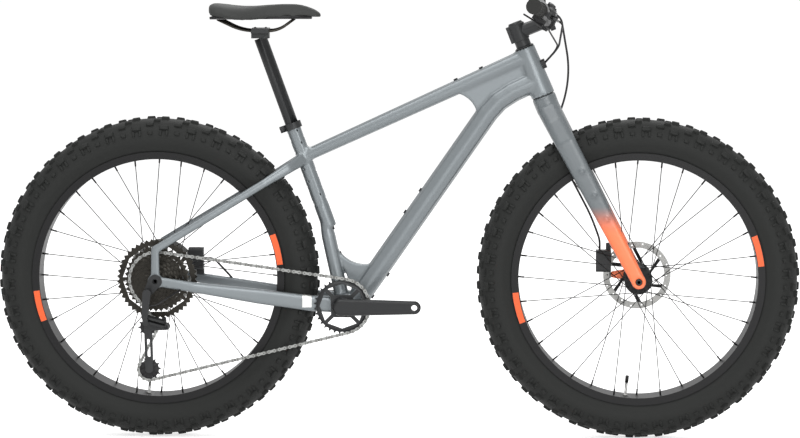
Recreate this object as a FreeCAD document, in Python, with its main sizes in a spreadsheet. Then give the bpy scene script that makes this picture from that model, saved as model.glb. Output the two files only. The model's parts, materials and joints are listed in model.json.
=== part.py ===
import FreeCAD, Part
import math
import os
from types import SimpleNamespace

import Sketcher

# Fat-tyre mountain bicycle, in millimetres.
# +X is forward, +Y is the rider's left, +Z is up.
# The origin is on the ground, midway between the two tyre contact points.

V = FreeCAD.Vector
ORIGIN = V(0, 0, 0)
X_AXIS = V(1, 0, 0)
Y_AXIS = V(0, 1, 0)
Z_AXIS = V(0, 0, 1)

SIZES = {
    # Overall geometry
    "wheelbase": 1130,
    "tyre_radius": 380.5,
    "crank_axis_behind_middle": 129.4,
    "crank_axis_height": 318.7,
    "head_angle": 68.5,
    "fork_offset": 51,
    "axle_to_crown": 482,
    "head_tube_length": 122,
    "seat_angle": 70.1,
    "seat_top_behind_middle": 251.4,
    "seat_top_height": 745,
    # Clearances
    "running_clearance": 0.05,
    "seat_gap": 0.3,
    "cut_overrun": 2,
    # Frame tubes
    "head_top_radius": 23.5,
    "head_bottom_radius": 28.5,
    "upper_bearing_radius": 20.9,
    "lower_bearing_radius": 25.9,
    "bearing_height": 8,
    "top_tube_drop_at_head": 20,
    "top_tube_drop_at_seat": 85,
    "top_tube_rear_height": 29,
    "top_tube_front_height": 37,
    "top_tube_rear_width": 34,
    "top_tube_front_width": 42,
    "down_tube_height": 51,
    "down_tube_width": 56,
    "down_tube_foot_ahead": 27,
    "down_tube_bend_behind_crown": 108,
    "down_tube_bend_below_crown": 8,
    "down_tube_bend_radius": 150,
    "down_tube_head_rise": 40,
    "seat_tube_radius": 17.6,
    "seat_tube_bend_drop": 262,
    "seat_tube_foot_width": 52,
    "web_thickness": 26,
    "web_inset": 5,
    "front_gusset_radius": 62,
    "seat_gusset_radius": 55,
    "foot_gusset_radius": 75,
    "steerer_room": 2,
    "shell_radius": 25,
    "shell_width": 121,
    "shell_bore_radius": 20.5,
    # Rear stays and dropouts
    "rear_hub_width": 197,
    "dropout_thickness": 8,
    "dropout_radius": 18,
    "chainstay_bb_spread": 44,
    "chainstay_ring_spread": 56,
    "chainstay_tyre_spread": 68,
    "chainstay_rear_spread": 95,
    "chainstay_bb_height": 40,
    "chainstay_ring_height": 38,
    "chainstay_mid_height": 36,
    "chainstay_rear_height": 25,
    "chainstay_thickness": 15,
    "chainstay_sag": 5,
    "seatstay_top_drop": 88,
    "seatstay_root_spread": 10,
    "seatstay_bridge_spread": 44,
    "seatstay_tyre_spread": 66,
    "seatstay_rear_spread": 101,
    "seatstay_height": 20,
    "seatstay_root_height": 30,
    "seatstay_thickness": 15,
    "strut_rise": 74,
    "strut_width": 22,
    "strut_thickness": 11,
    # Seatpost and saddle
    "post_radius": 15.45,
    "post_insert": 110,
    "post_travel": 100,
    "post_wall": 2.6,
    "post_reach": 212,
    "collar_height": 15,
    "collar_wall": 4,
    "collar_lug": 9,
    "bolt_radius": 2.5,
    "rail_radius": 3.5,
    "rail_spread": 22,
    "clamp_length": 42,
    "clamp_width": 60,
    "clamp_height": 12,
    "saddle_length": 271,
    "saddle_width": 142,
    "saddle_rear_behind_middle": 455,
    "saddle_top_height": 1025,
    "saddle_pad_depth": 26,
    "saddle_shell_depth": 9,
    # Fork and steerer
    "front_hub_width": 150,
    "steerer_radius": 14.3,
    "steerer_lower_radius": 19.05,
    "steerer_taper_length": 60,
    "crown_depth": 56,
    "crown_spread": 44,
    "crown_height": 40,
    "leg_root_spread": 9,
    "leg_spread": 73,
    "leg_tip_spread": 82.5,
    "leg_top_depth": 50,
    "leg_middle_depth": 42,
    "leg_tip_depth": 34,
    "leg_root_width": 34,
    "leg_top_width": 26,
    "leg_middle_width": 23.5,
    "leg_tip_width": 15,
    "front_axle_radius": 7.5,
    "rear_axle_radius": 6,
    "axle_bore_radius": 4,
    "end_cap_radius": 11,
    "end_cap_length": 4,
    # Stem, bar and controls
    "spacer_radius": 18,
    "spacer_height": 14,
    "stem_height": 40,
    "stem_clamp_radius": 20,
    "stem_length": 70,
    "stem_body_radius": 16,
    "stem_nose_height": 29,
    "stem_nose_width": 50,
    "bar_clamp_radius": 15.9,
    "bar_radius": 11.1,
    "bar_half_width": 380,
    "bar_sweep": 31,
    "bar_rise": 50,
    "bar_clamp_half": 28,
    "faceplate_wall": 5,
    "top_cap_height": 5,
    "grip_length": 132,
    "grip_radius": 15.5,
    "grip_flange_radius": 18,
    "control_clamp_length": 12,
    "control_clamp_wall": 4,
    "master_length": 62,
    "master_radius": 8.5,
    "master_offset": 27,
    "control_tilt": 32,
    "control_gap": 14,
    "lever_length": 92,
    "lever_width": 12,
    "lever_thickness": 7,
    "lever_blade": 6,
    "lever_pivot_reach": 12,
    "lever_pivot_radius": 2.5,
    "shifter_length": 44,
    "shifter_depth": 34,
    "shifter_height": 20,
    "shifter_drop": 26,
    "paddle_length": 36,
    "paddle_width": 14,
    "paddle_thickness": 4,
    # Wheels
    "rim_bed_radius": 281,
    "rim_bed_thickness": 3,
    "bead_seat_radius": 284,
    "rim_flange_radius": 298,
    "rim_width": 80,
    "rim_flange_thickness": 3.4,
    "tyre_width": 100,
    "tyre_widest_radius": 331,
    "tyre_wall": 3,
    "bead_rise": 1.2,
    "knob_height": 5.5,
    "knob_sink": 2,
    "tread_pitches": 34,
    "knob_length": 24,
    "knob_width": 16,
    "shoulder_length": 20,
    "shoulder_width": 18,
    "spoke_radius": 1,
    "nipple_radius": 2,
    "nipple_length": 14,
    "nipple_row": 18,
    "spokes_each_side": 16,
    "spoke_elbow": 3.2,
    "flange_radius": 33,
    "flange_hole_circle": 29,
    "flange_thickness": 3.4,
    "front_flange_left": 36,
    "front_flange_right": 52,
    "rear_flange_left": 60,
    "rear_flange_right": 40,
    "front_barrel_radius": 17,
    "rear_barrel_radius": 21,
    "rotor_radius": 80,
    "rotor_track": 15,
    "rotor_thickness": 1.8,
    "rotor_inset": 16,
    "rotor_seat_radius": 17.5,
    "rotor_hub_radius": 27,
    "rotor_arm_width": 9,
    "rotor_hole_radius": 2.1,
    "valve_radius": 3,
    "valve_length": 42,
    "valve_cap_radius": 4.2,
    "valve_cap_length": 17,
    # Drive train
    "cog_rim": 8,
    "cog_hub_radius": 26,
    "cog_spacer_radius": 18.2,
    "cog_wall": 1.2,
    "lockring_width": 1.6,
    "crank_edge": 4,
    "chain_pitch": 12.7,
    "roller_radius": 3.85,
    "seat_clearance": 0.25,
    "tooth_height": 2.4,
    "gap_floor_half": 2.7,
    "sprocket_thickness": 1.8,
    "chain_line": 66,
    "cog_pitch": 3.95,
    "chain_inner_gap": 2.3,
    "chain_plate": 0.85,
    "chain_plate_height": 8.2,
    "ring_teeth": 32,
    "ring_bore_radius": 22,
    "ring_window_inner": 33,
    "ring_window_outer": 53,
    "crank_length": 170,
    "crank_thickness": 14,
    "crank_boss_radius": 20,
    "crank_end_radius": 15.5,
    "crank_offset": 84,
    "spindle_radius": 12,
    "cup_flange_radius": 23.5,
    "cup_flange_width": 3,
    "cup_insert": 9,
    "pedal_hole_radius": 7,
    "freehub_radius": 17,
    "lockring_radius": 20,
    # Derailleur
    "slant_angle": 56.3,
    "link_tip_out": 110,
    "link_tip_rise": 16,
    "knuckle_arm": 9,
    "knuckle_lead": 18.5,
    "knuckle_boss": 19.1,
    "cage_pin_radius": 4,
    "cage_slot_radius": 4,
    "hanger_bolt_behind_axle": 17,
    "hanger_bolt_below_axle": 25.5,
    "hanger_thickness": 6,
    "hanger_boss_radius": 10,
    "link_length": 45,
    "link_rest_angle": 20,
    "link_spacing": 14,
    "link_half_depth": 5,
    "link_thickness": 6.5,
    "link_pin_radius": 2,
    "lug_thickness": 6.5,
    "knuckle_radius": 7,
    "cage_pivot_ahead_of_axle": 22,
    "cage_pivot_below_axle": 110,
    "guide_behind_pivot": 43.6,
    "guide_below_pivot": 2.5,
    "tension_behind_pivot": 41.2,
    "tension_below_pivot": 102.8,
    "guide_teeth": 11,
    "tension_teeth": 13,
    "pulley_thickness": 2,
    "pulley_bolt_radius": 2.5,
    "cage_plate": 2,
    "cage_half_gap": 5,
    "cage_plate_radius": 9,
    # Brake calipers
    "caliper_edge": 6,
    "ear_length": 12,
    "foot_depth": 14,
    "caliper_width": 32,
    "caliper_length": 36,
    "caliper_height": 52,
    "caliper_slot": 7,
    "caliper_bridge": 9,
    "caliper_lead": 79.5,
    "caliper_rise": 34,
    "pad_gap": 0.35,
    "post_spacing": 68,
    "post_height": 15,
    "post_width": 12,
    "post_offset": 11.5,
    "lower_post_reach": 47.5,
    "upper_post_reach": 19.5,
    # Bosses and cables
    "port_rise": 70,
    "port_reach": 33,
    "port_spacing": 7,
    "hose_bow": 24,
    "hose_lead": 30,
    "hose_end_run": 24,
    "hose_start_gap": 2.4,
    "hose_loop": 46,
    "hose_leg_gap": 10,
    "hose_leg_low": 175,
    "hose_leg_high": 380,
    "hose_drop": 50,
    "hose_drop_ahead": 70,
    "housing_lead": 24,
    "housing_exit_share": 0.17,
    "guard_thickness": 1,
    "guard_share": 0.19,
    "guard_length": 22,
    "guard_height": 30,
    "boss_radius": 5,
    "boss_height": 3,
    "leg_boss_reach": 89,
    "hose_radius": 2.5,
    "housing_radius": 2,
    "port_radius": 4,
}

COG_TEETH = (11, 13, 15, 18, 21, 24, 28, 32, 37, 46)
CHAIN_COG_TEETH = 32
# Shares of the sizes above that shape single pieces, and sides of small vents
UPPER_BEARING_SHARE = 1.5
COLLAR_BORE_SHARE = 1.5
BOLT_HEAD_SHARE = 1.7
AXLE_HEAD_SHARE = 1.5
POST_BORE_SHARE = 0.9
CLAMP_BOLT_SHARE = 0.6
SHELL_RISE_SHARE = 0.2
RAIL_SPREAD_SHARE = 1.6
FACE_BOLT_SHARE = 0.6
FACE_BOLT_RISE_SHARE = 0.96
FACE_BOLT_LENGTH_SHARE = 0.6
FACE_WINDOW_SHARE = 0.3
BAR_THICK_SHARE = 1.2
NECK_SHARE = 1.5
RESERVOIR_LENGTH_SHARE = 0.8
RESERVOIR_DEPTH_SHARE = 0.8
RESERVOIR_RISE_SHARE = 1.7
RESERVOIR_ROUND_SHARE = 0.35
PADDLE_AHEAD_SHARE = 0.4
PADDLE_ALONG_SHARE = 0.35
POD_BACK_SHARE = 0.3
POD_HEIGHT_SHARE = 0.55
PADDLE_SIDE_SHARE = 0.6
RELEASE_BACK_SHARE = 0.5
VALVE_NUT_SHARE = 1.7
END_FACE_SHARE = 0.01
ARM_SLANT_SHARE = 0.6
VENT_SIDES = 6

doc = FreeCAD.newDocument("fat_tyre_bike")
sheet = doc.addObject("Spreadsheet::Sheet", "Sizes")
for row, (alias, value) in enumerate(SIZES.items(), start=1):
    sheet.set(f"A{row}", alias)
    sheet.set(f"B{row}", str(value))
    sheet.setAlias(f"B{row}", alias)
doc.recompute()
s = SimpleNamespace(**{alias: float(sheet.get(alias)) for alias in SIZES})

pieces = []


# Places worked out from the driving sizes

def along(angle_from_vertical):
    """Unit vector that leans back from the vertical by an angle in degrees."""
    lean = math.radians(angle_from_vertical)
    return V(-math.sin(lean), 0, math.cos(lean))


def frame_at(origin, lean):
    """Placement at an origin whose local Z leans back by an angle in degrees."""
    return FreeCAD.Placement(origin, FreeCAD.Rotation(Y_AXIS, -lean))


STEER_LEAN = 90 - s.head_angle
SEAT_LEAN = 90 - s.seat_angle
STEER_UP = along(STEER_LEAN)
STEER_FORWARD = V(STEER_UP.z, 0, -STEER_UP.x)
SEAT_UP = along(SEAT_LEAN)
REAR_AXLE = V(-s.wheelbase / 2, 0, s.tyre_radius)
FRONT_AXLE = V(s.wheelbase / 2, 0, s.tyre_radius)
CRANK_AXIS = V(-s.crank_axis_behind_middle, 0, s.crank_axis_height)
CROWN = FRONT_AXLE - STEER_FORWARD * s.fork_offset + STEER_UP * s.axle_to_crown
HEAD_TOP = CROWN + STEER_UP * s.head_tube_length
SEAT_TOP = V(-s.seat_top_behind_middle, 0, s.seat_top_height)
STEER_FRAME = frame_at(CROWN, STEER_LEAN)
SEAT_FRAME = frame_at(SEAT_TOP, SEAT_LEAN)
STEM_BASE = s.head_tube_length + s.bearing_height / 2 + s.spacer_height
BAR_CENTRE = (
    CROWN
    + STEER_UP * (STEM_BASE + s.stem_height / 2)
    + STEER_FORWARD * s.stem_length
)
FRONT_ROTOR_Y = s.front_hub_width / 2 - s.rotor_inset
REAR_ROTOR_Y = s.rear_hub_width / 2 - s.rotor_inset


# Document helpers

def feature(label, shape, where=None):
    """Add a piece whose shape is worked out here from the sheet's sizes."""
    piece = doc.addObject("Part::Feature", label)
    piece.Label = label
    piece.Shape = shape
    if where:
        piece.Placement = where
    pieces.append(piece)
    return piece


def origin_plane(body, role):
    """Find one of a body's own origin planes."""
    return next(item for item in body.Origin.OriginFeatures if item.Role == role)


def bound_outline(sketch, corners):
    """Draw a closed outline whose corners are bound to the sheet."""
    values = [tuple(float(sketch.evalExpression(text)) for text in corner) for corner in corners]
    count = len(corners)
    for index in range(count):
        start = V(*values[index], 0)
        end = V(*values[(index + 1) % count], 0)
        sketch.addGeometry(Part.LineSegment(start, end), False)
    for index in range(count):
        sketch.addConstraint(Sketcher.Constraint("Coincident", index, 2, (index + 1) % count, 1))
    for index, (texts, numbers) in enumerate(zip(corners, values)):
        for kind, text, number, axis in zip(("DistanceX", "DistanceY"), texts, numbers, (-2, -1)):
            if number == 0:
                sketch.addConstraint(Sketcher.Constraint("PointOnObject", index, 1, axis))
                continue
            place = sketch.addConstraint(Sketcher.Constraint(kind, -1, 1, index, 1, number))
            sketch.setExpression(f"Constraints[{place}]", text)


def turned_body(label, profile, where, keep=True):
    """Make a body by turning a bound profile of (radius, along) about its own Y axis."""
    body = doc.addObject("PartDesign::Body", label)
    body.Label = label
    sketch = body.newObject("Sketcher::SketchObject", label + "_profile")
    sketch.AttachmentSupport = [(origin_plane(body, "XY_Plane"), "")]
    sketch.MapMode = "FlatFace"
    bound_outline(sketch, profile)
    turn = body.newObject("PartDesign::Revolution", label + "_turn")
    turn.Profile = sketch
    turn.ReferenceAxis = (sketch, ["V_Axis"])
    turn.Angle = 360
    body.Placement = where
    doc.recompute()
    if keep:
        pieces.append(body)
    return body


def sizes(text):
    """Turn @name into a reference to the sheet."""
    return text.replace("@", "Sizes.")


def profile_of(*rows):
    """Turn rows of text into bound profile corners."""
    return [(sizes(radius), sizes(place)) for radius, place in rows]


# Shape helpers

def hub_frame(centre):
    """Placement at a wheel, crank or pulley centre."""
    return FreeCAD.Placement(centre, FreeCAD.Rotation())


def upright(direction):
    """Rotation that turns local Y to a direction."""
    return FreeCAD.Rotation(Y_AXIS, direction)


def rod(radius, start, end):
    """Round bar between two points."""
    return Part.makeCylinder(radius, (end - start).Length, start, end - start)


def across(radius, near, far, centre=ORIGIN):
    """Round bar along Y between two places."""
    low = min(near, far)
    return Part.makeCylinder(radius, abs(far - near), V(centre.x, low, centre.z), Y_AXIS)


def block(low, high):
    """Box between two corners."""
    return Part.makeBox(high.x - low.x, high.y - low.y, high.z - low.z, low)


def round_corner(before, corner, after, radius):
    """Tangent points and middle of an arc that rounds a corner."""
    back = (before - corner).normalize()
    ahead = (after - corner).normalize()
    half = back.getAngle(ahead) / 2
    reach = radius / math.tan(half)
    middle_way = (back + ahead).normalize()
    middle = corner + middle_way * (radius / math.sin(half) - radius)
    return corner + back * reach, middle, corner + ahead * reach


def rounded_wire(corners):
    """Closed wire through (point, radius) corners, with arcs at the rounded ones."""
    ends = []
    arcs = []
    count = len(corners)
    for index, (corner, radius) in enumerate(corners):
        if radius == 0:
            ends.append((corner, corner))
            arcs.append(None)
            continue
        before = corners[index - 1][0]
        after = corners[(index + 1) % count][0]
        start, middle, end = round_corner(before, corner, after, radius)
        arcs.append(Part.Arc(start, middle, end).toShape())
        ends.append((start, end))
    edges = []
    for index in range(count):
        if arcs[index]:
            edges.append(arcs[index])
        edges.append(Part.makeLine(ends[index][1], ends[(index + 1) % count][0]))
    return Part.Wire(edges)


def slab(corners, low, high):
    """Plate in the side plane between two Y places, from rounded corners."""
    face = Part.Face(rounded_wire([(V(point.x, low, point.z), radius) for point, radius in corners]))
    return face.extrude(V(0, high - low, 0))


def capsule(first, second, first_radius, second_radius, low, high):
    """Plate along Y round two points, like a link that tapers."""
    span = second - first
    turn = math.asin((first_radius - second_radius) / span.Length)
    way = math.atan2(span.z, span.x)
    corners = []
    for sign in (1, -1):
        angle = way + sign * (math.pi / 2 - turn)
        side = V(math.cos(angle), 0, math.sin(angle))
        corners.append((first + side * first_radius, second + side * second_radius))
    back = first - span.normalize() * first_radius
    front = second + span * second_radius
    edges = [
        Part.makeLine(corners[0][0], corners[0][1]),
        Part.Arc(corners[0][1], front, corners[1][1]).toShape(),
        Part.makeLine(corners[1][1], corners[1][0]),
        Part.Arc(corners[1][0], back, corners[0][0]).toShape(),
    ]
    face = Part.Face(Part.Wire(edges))
    face.translate(V(0, low - first.y, 0))
    return face.extrude(V(0, high - low, 0))


SECTION_SIGNS = ((1, 1), (-1, 1), (-1, -1), (1, -1))
CORNER_TURNS = (0, 45, 90)


def tube_section(centre, way, height, width, corner_share, side_way):
    """Twelve-sided outline with eased corners round a centre, square to a direction."""
    side = (side_way - way * way.dot(side_way)).normalize()
    up = way.cross(side)
    radius = min(height, width) / 2 * corner_share
    flat_side = width / 2 - radius
    flat_up = height / 2 - radius
    corners = []
    for quarter, (side_sign, up_sign) in enumerate(SECTION_SIGNS):
        for degrees in CORNER_TURNS:
            turn = math.radians(degrees + 90 * quarter)
            reach_side = side_sign * flat_side + radius * math.cos(turn)
            reach_up = up_sign * flat_up + radius * math.sin(turn)
            corners.append(centre + side * reach_side + up * reach_up)
    return Part.makePolygon(corners + corners[:1])


RUN_SHARE = 0.45
# An edge whose direction has at least this share along an axis runs along that axis
ALONG_SHARE = 0.9
STRAIGHT_TURN = math.radians(0.2)


def route_wire(points):
    """Straight runs joined by tangent arcs as large as the runs allow, and the radii."""
    edges = []
    radii = []
    start = points[0]
    for before, corner, after in zip(points, points[1:], points[2:]):
        shorter = min((corner - before).Length, (after - corner).Length)
        turn = (corner - before).getAngle(after - corner)
        if turn < STRAIGHT_TURN:
            continue
        radius = RUN_SHARE * shorter / math.tan(turn / 2)
        radii.append(radius)
        first, middle, last = round_corner(before, corner, after, radius)
        edges.append(Part.LineSegment(start, first).toShape())
        edges.append(Part.Arc(first, middle, last).toShape())
        start = last
    edges.append(Part.LineSegment(start, points[-1]).toShape())
    return Part.Wire(edges), radii


TUBE_CORNER_SHARE = 0.85


def lofted_tube(stations, corner_share=TUBE_CORNER_SHARE, side_way=Y_AXIS):
    """Solid tube through stations of (point, height, width), square to the route at each."""
    points = [station[0] for station in stations]
    wires = []
    for index, (point, height, width) in enumerate(stations):
        before = points[max(index - 1, 0)]
        after = points[min(index + 1, len(points) - 1)]
        way = V(0, 0, 0)
        for run in (point - before, after - point):
            if run.Length > 0:
                way = way + run.normalize()
        wires.append(tube_section(point, way.normalize(), height, width, corner_share, side_way))
    return Part.makeLoft(wires, True, True)


PIPE_TOLERANCE = 0.02


def piped(points, radius, sides=0):
    """Solid along a route, round or with some sides, its volume compared with section times length."""
    wire, radii = route_wire(points)
    way = (points[1] - points[0]).normalize()
    if sides:
        ring = ring_of(sides, radius, points[0], way, STEER_FORWARD)
        area = sides / 2 * radius ** 2 * math.sin(2 * math.pi / sides)
    else:
        ring = Part.Wire(Part.makeCircle(radius, points[0], way))
        area = math.pi * radius ** 2
    solid = wire.makePipeShell([ring], True, False)
    assert abs(solid.Volume / (area * wire.Length) - 1) < PIPE_TOLERANCE, "pipe volume is off"
    return solid, radii


def ring_of(sides, radius, centre, way, first_side):
    """Regular polygon square to a direction, with its first corner towards a side."""
    side = (first_side - way * way.dot(first_side)).normalize()
    up = way.cross(side)
    corners = []
    for index in range(sides):
        turn = 2 * math.pi * index / sides
        corners.append(centre + side * (radius * math.cos(turn)) + up * (radius * math.sin(turn)))
    return Part.makePolygon(corners + corners[:1])


def prism(sides, radius, start, end, first_side):
    """Bar with flat sides between two points."""
    way = end - start
    return Part.Face(ring_of(sides, radius, start, V(way).normalize(), first_side)).extrude(way)


def turned_copies(shape, count, axis=Y_AXIS, centre=ORIGIN):
    """Copies of a shape spread evenly round an axis."""
    copies = []
    for index in range(count):
        copy = shape.copy()
        copy.rotate(centre, axis, 360 / count * index)
        copies.append(copy)
    return copies


def mirrored(shape):
    """The same shape on the other side of the bicycle."""
    return shape.mirror(ORIGIN, Y_AXIS)


# Main frame

def side_point(base, ahead, up):
    """Point in the middle plane, offset from a base."""
    return V(base.x + ahead, 0, base.z + up)


def meeting(first, first_way, second, second_way):
    """Point of the side plane where two tube lines cross."""
    gap = second - first
    rise = gap.x * second_way.z - gap.z * second_way.x
    return first + first_way * (rise / (first_way.x * second_way.z - first_way.z * second_way.x))


def gusset(corner, first_way, second_way, radius, thickness):
    """Web that fills the corner between two tubes up to a hollow arc."""
    first = corner + first_way
    second = corner + second_way
    start, middle, end = round_corner(first, corner, second, radius)
    edges = [Part.makeLine(corner, start), Part.Arc(start, middle, end).toShape(), Part.makeLine(end, corner)]
    face = Part.Face(Part.Wire(edges))
    face.translate(V(0, -thickness / 2, 0))
    return face.extrude(V(0, thickness, 0))


TOP_TUBE_FRONT = HEAD_TOP - STEER_UP * s.top_tube_drop_at_head
TOP_TUBE_REAR = SEAT_TOP - SEAT_UP * s.top_tube_drop_at_seat
DOWN_TUBE_LOW = side_point(CRANK_AXIS, s.down_tube_foot_ahead, 0)
DOWN_TUBE_HIGH = side_point(CROWN, -s.down_tube_bend_behind_crown, -s.down_tube_bend_below_crown)
DOWN_TUBE_END = CROWN + STEER_UP * s.down_tube_head_rise
SEAT_TUBE_FOOT = SEAT_TOP - SEAT_UP * s.seat_tube_bend_drop
SEAT_TUBE_LEAD = SEAT_TOP - SEAT_UP * (s.seat_tube_bend_drop - s.seat_tube_foot_width)


SEAT_FOOT_SHARE = 0.3


def front_triangle():
    """Head tube, top tube, down tube, seat tube and crank shell in one moulding."""
    head = Part.makeCone(s.head_bottom_radius, s.head_top_radius, s.head_tube_length)
    head.Placement = STEER_FRAME
    top_tube = lofted_tube([
        (TOP_TUBE_REAR, s.top_tube_rear_height, s.top_tube_rear_width),
        (TOP_TUBE_FRONT, s.top_tube_front_height, s.top_tube_front_width),
    ])
    bend = round_corner(DOWN_TUBE_LOW, DOWN_TUBE_HIGH, DOWN_TUBE_END, s.down_tube_bend_radius)
    slim = s.down_tube_width - s.web_inset
    down_tube = lofted_tube(
        [(DOWN_TUBE_LOW, s.down_tube_height, s.down_tube_width)]
        + [(point, s.down_tube_height, slim) for point in bend + (DOWN_TUBE_END,)])
    seat_tube = rod(s.seat_tube_radius, SEAT_TUBE_FOOT, SEAT_TOP)
    seat_run = CRANK_AXIS - SEAT_TUBE_LEAD
    across_tube = s.seat_tube_radius * 2
    seat_foot = lofted_tube([
        (SEAT_TUBE_LEAD, s.seat_tube_radius, s.seat_tube_radius),
        (SEAT_TUBE_LEAD + seat_run * SEAT_FOOT_SHARE, across_tube - s.web_inset / 2, across_tube + s.web_inset),
        (CRANK_AXIS, across_tube - s.web_inset / 2, s.seat_tube_foot_width),
    ])
    shell = across(s.shell_radius, -s.shell_width / 2, s.shell_width / 2, CRANK_AXIS)
    top_way = TOP_TUBE_FRONT - TOP_TUBE_REAR
    down_way = DOWN_TUBE_HIGH - DOWN_TUBE_LOW
    front_corner = meeting(TOP_TUBE_REAR, top_way, DOWN_TUBE_LOW, down_way)
    foot_corner = meeting(SEAT_TOP, SEAT_UP, DOWN_TUBE_LOW, down_way)
    webs = [
        gusset(front_corner, top_way * -1, down_way * -1, s.front_gusset_radius, s.web_thickness),
        gusset(TOP_TUBE_REAR, SEAT_UP, top_way, s.seat_gusset_radius, s.web_thickness),
        gusset(TOP_TUBE_REAR, SEAT_UP * -1, top_way, s.seat_gusset_radius, s.web_thickness),
        gusset(foot_corner, SEAT_UP, down_way, s.foot_gusset_radius, s.web_thickness),
        slab([(CROWN + STEER_UP * s.web_inset, 0), (TOP_TUBE_FRONT, 0), (DOWN_TUBE_HIGH, 0)],
             -s.web_thickness / 2, s.web_thickness / 2),
    ]
    moulding = head.multiFuse([top_tube, down_tube, seat_tube, seat_foot, shell] + webs)
    bore = Part.makeCone(
        s.steerer_lower_radius + s.steerer_room, s.steerer_radius + s.steerer_room, s.head_tube_length)
    seat_depth = s.bearing_height + s.cut_overrun
    bore = bore.multiFuse([
        Part.makeCylinder(s.lower_bearing_radius, seat_depth, V(0, 0, -s.cut_overrun)),
        Part.makeCylinder(s.upper_bearing_radius, seat_depth, V(0, 0, s.head_tube_length - s.bearing_height)),
    ])
    bore.Placement = STEER_FRAME
    post_hole = rod(
        s.post_radius + s.running_clearance,
        SEAT_TOP - SEAT_UP * (s.post_insert + s.post_travel), SEAT_TOP + SEAT_UP * s.cut_overrun)
    trim = s.head_bottom_radius * 2
    head_trim = Part.makeCylinder(trim, trim, V(0, 0, -trim))
    head_trim = head_trim.fuse(Part.makeCylinder(trim, trim, V(0, 0, s.head_tube_length)))
    head_trim.Placement = STEER_FRAME
    crank_bore = across(s.shell_bore_radius, -s.shell_width, s.shell_width, CRANK_AXIS)
    return moulding.cut([bore, post_hole, head_trim, crank_bore]).removeSplitter()


STAY_SHARES = (0.02, 0.17, 0.45, 0.8, 0.99)
SEATSTAY_SHARES = (0, 0.1, 0.26, 0.62, 1)


def rear_stays(frame_shape):
    """Left chainstay with its dropout, and left seatstay with its strut."""
    drop_in = s.rear_hub_width / 2
    drop_mid = drop_in + s.dropout_thickness / 2
    span = REAR_AXLE - CRANK_AXIS
    spreads = (s.chainstay_bb_spread, s.chainstay_ring_spread, s.chainstay_tyre_spread,
               s.chainstay_rear_spread, drop_mid)
    lifts = (0, -s.chainstay_sag, -s.chainstay_sag, -s.chainstay_sag / 2, 0)
    heights = (s.chainstay_bb_height, s.chainstay_ring_height, s.chainstay_mid_height,
               s.chainstay_rear_height, s.chainstay_rear_height)
    widths = (s.chainstay_thickness,) * 4 + (s.dropout_thickness,)
    chainstay = lofted_tube([
        (CRANK_AXIS + span * share + V(0, spread, lift), height, width)
        for share, spread, lift, height, width in zip(STAY_SHARES, spreads, lifts, heights, widths)])
    dropout = across(s.dropout_radius, drop_in, drop_in + s.dropout_thickness, REAR_AXLE)
    axle_hole = across(s.rear_axle_radius + s.running_clearance, 0, s.rear_hub_width, REAR_AXLE)
    reach = s.dropout_radius * 2
    inside = block(REAR_AXLE + V(-reach, 0, -reach), REAR_AXLE + V(reach, drop_in, reach))
    chainstay = chainstay.fuse(dropout).cut([axle_hole, inside, frame_shape])
    chainstay = max(chainstay.Solids, key=lambda solid: solid.Volume)
    root = SEAT_TOP - SEAT_UP * s.seatstay_top_drop
    bend = REAR_AXLE + Z_AXIS * s.strut_rise
    spreads = (s.seatstay_root_spread, s.seatstay_bridge_spread, s.seatstay_tyre_spread,
               (s.seatstay_tyre_spread + s.seatstay_rear_spread) / 2, s.seatstay_rear_spread)
    route = [root + (bend - root) * share + V(0, spread, 0)
             for share, spread in zip(SEATSTAY_SHARES, spreads)]
    route.append(REAR_AXLE + V(0, drop_mid, s.dropout_radius / 2))
    heights = (s.seatstay_root_height, (s.seatstay_root_height + s.seatstay_height) / 2, s.seatstay_height,
               s.seatstay_height, s.strut_width, s.strut_width)
    widths = (s.seatstay_thickness,) * 4 + (s.strut_thickness, s.dropout_thickness)
    seatstay = lofted_tube(list(zip(route, heights, widths)))
    seatstay = seatstay.cut([chainstay, frame_shape, axle_hole])
    seatstay = max(seatstay.Solids, key=lambda solid: solid.Volume)
    return chainstay, seatstay


frame_shape = front_triangle()
feature("front_triangle", frame_shape)
left_chainstay, left_seatstay = rear_stays(frame_shape)
feature("chainstay_left", left_chainstay)
feature("chainstay_right", mirrored(left_chainstay))
feature("seatstay_left", left_seatstay)
feature("seatstay_right", mirrored(left_seatstay))


# Fixed fittings of the frame

def headset_bearings():
    """Two sealed bearing rings in the head tube's seats."""
    lower = Part.makeCylinder(s.lower_bearing_radius, s.bearing_height)
    lower = lower.cut(Part.makeCylinder(
        s.steerer_lower_radius + s.running_clearance, s.bearing_height + s.cut_overrun, V(0, 0, -s.cut_overrun / 2)))
    base = s.head_tube_length - s.bearing_height
    height = s.bearing_height * UPPER_BEARING_SHARE
    upper = Part.makeCylinder(s.upper_bearing_radius, s.bearing_height, V(0, 0, base))
    cover = Part.makeCone(s.head_top_radius, s.spacer_radius, height - s.bearing_height, V(0, 0, s.head_tube_length))
    upper = upper.fuse(cover).cut(Part.makeCylinder(
        s.steerer_radius + s.running_clearance, height + s.cut_overrun, V(0, 0, base - s.cut_overrun / 2)))
    return Part.Compound([lower, upper])


feature("headset_bearings", headset_bearings(), STEER_FRAME)

CUP_OUTER = "@shell_width / 2 + @cup_flange_width"
CUP_BORE = "@spindle_radius + @running_clearance"
cup = turned_body("bearing_cup", profile_of(
    (CUP_BORE, "@shell_width / 2 - @cup_insert"),
    ("@shell_bore_radius", "@shell_width / 2 - @cup_insert"),
    ("@shell_bore_radius", "@shell_width / 2"),
    ("@cup_flange_radius", "@shell_width / 2"),
    ("@cup_flange_radius", CUP_OUTER),
    (CUP_BORE, CUP_OUTER),
), hub_frame(CRANK_AXIS), keep=False)
feature("bottom_bracket", Part.Compound([cup.Shape, mirrored(cup.Shape)]))


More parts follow.
